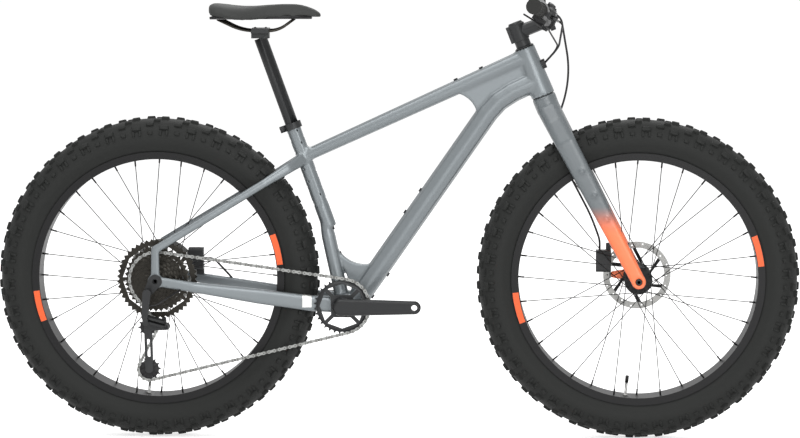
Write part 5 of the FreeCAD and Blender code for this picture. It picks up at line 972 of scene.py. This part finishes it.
@dataclass
class ChainLink:
    """Waisted plates of the chain, set on the CAD chain's links."""

    pitch: float = 12.7 * MM
    radius: float = 4.1 * MM
    waist: float = 2.75 * MM
    thickness: float = 0.85 * MM
    sides: int = 10
    opening: float = math.radians(52)
    pin_radius: float = 1.9 * MM
    head_radius: float = 1.5 * MM
    head_depth: float = 0.3 * MM
    pin_sides: int = 8

    def plate(self) -> bpy.types.Object:
        """Model one plate round two pins along X.

        Returns:
            The plate, with its first pin at the origin and its face across Y.
        """
        outline = []
        for index in range(self.sides + 1):
            turn = self.opening + (FULL_TURN - 2 * self.opening) * index / self.sides
            outline.append(Vector((self.radius * math.cos(turn), 0, self.radius * math.sin(turn))))
        middle = self.pitch / 2
        outline.append(Vector((middle, 0, -self.waist)))
        for point in outline[self.sides::-1]:
            outline.append(Vector((self.pitch - point.x, 0, point.z)))
        outline.append(Vector((middle, 0, self.waist)))
        plate = drawn_line("plate", outline)
        bpy.ops.mesh.edge_face_add()
        leave_edit_mode()
        add_modifier(plate, "SOLIDIFY", thickness=self.thickness, offset=0.0)
        clean(plate)
        return plate

    def pin(self, length: float) -> bpy.types.Object:
        """Model one pin with a domed head at the origin, along Y.

        Args:
            length: Length over the heads.

        Returns:
            The pin.
        """
        edge = length / 2
        shoulder = edge - self.head_depth
        rows = [(-edge, 0.0), (-edge, self.head_radius), (-shoulder, self.pin_radius)]
        rows += [(shoulder, self.pin_radius), (edge, self.head_radius), (edge, 0.0)]
        points = [Vector((radius, place, 0)) for place, radius in rows]
        return turned("pin", points, Vector((0, 0, 0)), ALONG_Y, self.pin_sides)


@dataclass
class DriveTrain:
    """Cranks, chain, cogs and derailleur."""

    link: ChainLink
    crank_voxel: float = 1.2 * MM
    derailleur_voxel: float = 0.7 * MM
    roller_room: float = 0.5 * MM
    plate_room: float = 0.3 * MM

    def dress(self, bike: Bicycle) -> None:
        """Finish the moving pieces.

        Args:
            bike: The loaded bicycle.
        """
        for node in ("crank_arm_right", "crank_arm_left"):
            bike.cast(node, CRANK_ALLOY, self.crank_voxel)
        for node in ("chainring", "freehub_body", "crank_spindle"):
            bike.skin(node, BLACK_ALLOY)
        for node in ("derailleur_b_knuckle", "derailleur_outer_link", "derailleur_inner_link",
                     "derailleur_p_knuckle"):
            bike.cast(node, BLACK_ALLOY, self.derailleur_voxel)
        bike.skin("cassette", DARK_STEEL)
        bike.skin("derailleur_cage", BLACK_ALLOY)
        self.chain(bike)
        for node in ("guide_pulley", "tension_pulley"):
            bike.skin(node, BLACK_PLASTIC)

    def chain(self, bike: Bicycle) -> None:
        """Set waisted plates and pins where the CAD chain has its plates.

        A solid near the chain's middle plane is a roller, and one far from it is an outer plate.

        Args:
            bike: The loaded bicycle.
        """
        islands = self.islands(bike.copy_of(["chain"], "chain_links"))
        middle = sum(place.y for place, _ in islands) / len(islands)
        plates = [island for island in islands if abs(island[0].y - middle) > self.roller_room]
        farthest = max(abs(place.y - middle) for place, _ in plates)
        plate = self.link.plate()
        pin = self.link.pin(2 * farthest + 3 * self.link.thickness)
        bright = []
        dark = []
        for place, way in plates:
            outer = abs(place.y - middle) > farthest - self.plate_room
            turn = Matrix.Rotation(math.atan2(-way.z, way.x), 4, "Y")
            seat = Matrix.Translation(place) @ turn @ Matrix.Translation((-self.link.pitch / 2, 0, 0))
            (bright if outer else dark).append(self.set_copy(plate, seat))
            if outer and place.y < middle:
                for end in (0.0, self.link.pitch):
                    at = seat @ Vector((end, 0, 0))
                    dark.append(self.set_copy(pin, Matrix.Translation((at.x, middle, at.z))))
        for piece in (plate, pin):
            bpy.data.objects.remove(piece)
        for name, pieces, finish in (("chain_outer_plates", bright, CHAIN_STEEL),
                                     ("chain_inner_plates", dark, PIN_STEEL)):
            chain = join(pieces, name)
            smooth(chain, degrees=30.0)
            paint(chain, finish)
            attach(chain, bike.body("chain"))
            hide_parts("chain")

    def set_copy(self, piece: bpy.types.Object, seat: Matrix) -> bpy.types.Object:
        """Copy a piece with its own mesh to a seat.

        Args:
            piece: Piece to copy.
            seat: Place and turn of the copy.

        Returns:
            The copy, with its place in its mesh.
        """
        copy = bpy.data.objects.new(piece.name, piece.data.copy())
        copy.data.transform(seat)
        bpy.context.scene.collection.objects.link(copy)
        return copy

    def islands(self, piece: bpy.types.Object) -> list[tuple[Vector, Vector]]:
        """Measure the loose solids of a mesh, and remove it.

        Args:
            piece: Mesh object of many plates.

        Returns:
            For each solid its middle and its long direction, which lies across Y.
        """
        mesh = piece.data
        parent = list(range(len(mesh.vertices)))

        def root(index: int) -> int:
            """Follow the links up to the island's first point.

            Args:
                index: Number of a point.

            Returns:
                Number of the first point of its island.
            """
            while parent[index] != index:
                parent[index] = parent[parent[index]]
                index = parent[index]
            return index

        for edge in mesh.edges:
            parent[root(edge.vertices[0])] = root(edge.vertices[1])
        groups: dict[int, list[Vector]] = {}
        for vertex in mesh.vertices:
            groups.setdefault(root(vertex.index), []).append(vertex.co.copy())
        bpy.data.objects.remove(piece)
        found = []
        for points in groups.values():
            middle = sum(points, Vector()) / len(points)
            middle.y = (min(point.y for point in points) + max(point.y for point in points)) / 2
            flat = [Vector((point.x - middle.x, 0, point.z - middle.z)) for point in points]
            spread = sum(point.x * point.z for point in flat)
            across = sum(point.x ** 2 - point.z ** 2 for point in flat)
            turn = 0.5 * math.atan2(2 * spread, across)
            found.append((middle, Vector((math.cos(turn), 0, math.sin(turn)))))
        return found


@dataclass
class Brakes:
    """Calipers and hoses, and the shift housing."""

    blend_start: Vector
    blend_end: Vector
    degrees: float = 60.0

    def dress(self, bike: Bicycle) -> None:
        """Finish the calipers and let the hoses bend with the steering.

        Args:
            bike: The loaded bicycle.
        """
        for node in ("front_caliper", "rear_caliper"):
            bike.cast(node, BLACK_ALLOY)
        bike.skin("front_brake_hose", BLACK_PLASTIC, self.degrees)
        for node in ("rear_brake_hose", "shift_housing"):
            hose = bike.copy_of([node], node + "_skin")
            smooth(hose, self.degrees)
            paint(hose, BLACK_PLASTIC)
            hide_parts(node)
            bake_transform(hose, "frame", "steering", self.blend_start, self.blend_end)


def background_rays(tree: bpy.types.NodeTree) -> bpy.types.NodeSocket:
    """Tell the rays that show the white background from those that light the bicycle.

    Args:
        tree: Node tree of the floor's material or of the world.

    Returns:
        Socket that is 1 for camera, glossy and transmission rays and 0 for the others.
    """
    path = add_node(tree, "ShaderNodeLightPath")
    seen = path.outputs["Is Camera Ray"]
    for other in ("Is Glossy Ray", "Is Transmission Ray"):
        either = add_node(
            tree, "ShaderNodeMath", {"operation": "MAXIMUM"}, {0: seen, 1: path.outputs[other]})
        seen = either.outputs["Value"]
    return seen


@dataclass(frozen=True)
class Lamp:
    """One soft square lamp, with its place, edge length and power in watts."""

    name: str
    place: tuple[float, float, float]
    size: float
    power: float


# The key lamp shapes the tubes from above, the fill lamp lights the side and the back lamp parts the edges.
LAMPS = (
    Lamp("key_lamp", (-1.2, -2.2, 5.0), 3.4, 130.0),
    Lamp("fill_lamp", (1.6, -5.6, 2.2), 3.0, 150.0),
    Lamp("back_lamp", (0.4, 3.6, 4.4), 3.4, 90.0),
)


@dataclass
class Studio:
    """White sweep, soft lamps and the camera."""

    camera_place: Vector
    aim: Vector
    lens: float
    floor_size: float = 60.0
    ambient: float = 0.4
    floor_lift: float = 0.64

    def build(self) -> None:
        """Make the stage round the bicycle."""
        self.floor()
        self.world()
        for lamp in LAMPS:
            self.hang(lamp)
        self.camera()
        bpy.context.scene.view_settings.view_transform = "Standard"

    def floor(self) -> None:
        """Lay a plain pale floor that keeps the shadow."""
        bpy.ops.mesh.primitive_plane_add(size=self.floor_size)
        floor = bpy.context.active_object
        floor.name = "studio_floor"
        pale = bpy.data.materials.new("white_floor_paint")
        pale.use_nodes = True
        shader = pale.node_tree.nodes["Principled BSDF"]
        shader.inputs["Base Color"].default_value = linear("#fbfbfb")
        shader.inputs["Roughness"].default_value = 0.9
        shader.inputs["Specular IOR Level"].default_value = 0.0
        shader.inputs["Emission Color"].default_value = (1.0, 1.0, 1.0, 1.0)
        lift = add_node(
            pale.node_tree, "ShaderNodeMapRange", links={"Value": background_rays(pale.node_tree)},
            To_Max=self.floor_lift)
        pale.node_tree.links.new(lift.outputs["Result"], shader.inputs["Emission Strength"])
        floor.data.materials.append(pale)

    def world(self) -> None:
        """Light the stage evenly from a world that shows as white."""
        world = bpy.data.worlds.new("white_studio")
        world.use_nodes = True
        tree = world.node_tree
        backdrop = tree.nodes["Background"]
        backdrop.inputs["Color"].default_value = (1.0, 1.0, 1.0, 1.0)
        strength = add_node(
            tree, "ShaderNodeMapRange", links={"Value": background_rays(tree)},
            To_Min=self.ambient, To_Max=1.0)
        tree.links.new(strength.outputs["Result"], backdrop.inputs["Strength"])
        bpy.context.scene.world = world

    def hang(self, lamp: Lamp) -> None:
        """Hang one lamp that points at the bicycle.

        Args:
            lamp: Lamp to hang.
        """
        bpy.ops.object.light_add(type="AREA", location=lamp.place)
        light = bpy.context.active_object
        light.name = lamp.name
        light.data.size = lamp.size
        light.data.energy = lamp.power
        light.rotation_euler = (self.aim - Vector(lamp.place)).to_track_quat("-Z", "Y").to_euler()

    def camera(self) -> None:
        """Set the camera where the photograph was taken from."""
        bpy.ops.object.camera_add(location=self.camera_place)
        camera = bpy.context.active_object
        camera.data.lens = self.lens
        camera.data.sensor_width = 36.0
        camera.data.clip_end = 100.0
        camera.rotation_euler = (self.aim - self.camera_place).to_track_quat("-Z", "Y").to_euler()
        bpy.context.scene.camera = camera


def report(known: set[str]) -> None:
    """Log each piece that has been made since a set of names was taken.

    Args:
        known: Names of the objects that were there before.
    """
    for piece in bpy.data.objects:
        if piece.type == "MESH" and piece.name not in known:
            LOG.info("%s has %d faces", piece.name, len(piece.data.polygons))


def main() -> None:
    """Load the frame, dress every sub-assembly, report its pieces and set the stage."""
    logging.basicConfig(level=logging.INFO)
    bike = Bicycle(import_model())
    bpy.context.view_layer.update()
    assemblies = (
        FrameSet(),
        Wheel("front", Vector((AXLE_X, 0, AXLE_Z))),
        Wheel("rear", Vector((-AXLE_X, 0, AXLE_Z))),
        Saddle(),
        Cockpit(bar_end=Vector((0.31639, 0.380, 1.0348)), bar_out=Vector((-0.1039, 0.9903, 0.0931))),
        DriveTrain(ChainLink()),
        Brakes(blend_start=Vector((0.352, 0.0, 0.885)), blend_end=Vector((0.372, -0.05, 0.985))),
    )
    for assembly in assemblies:
        known = {piece.name for piece in bpy.data.objects}
        assembly.dress(bike)
        report(known)
    stage = Studio(
        camera_place=Vector((0.28, -8.2, 1.354)), aim=Vector((0.0043, 0.0, 0.5182)), lens=157.3)
    stage.build()


if __name__ == "__main__":
    main()
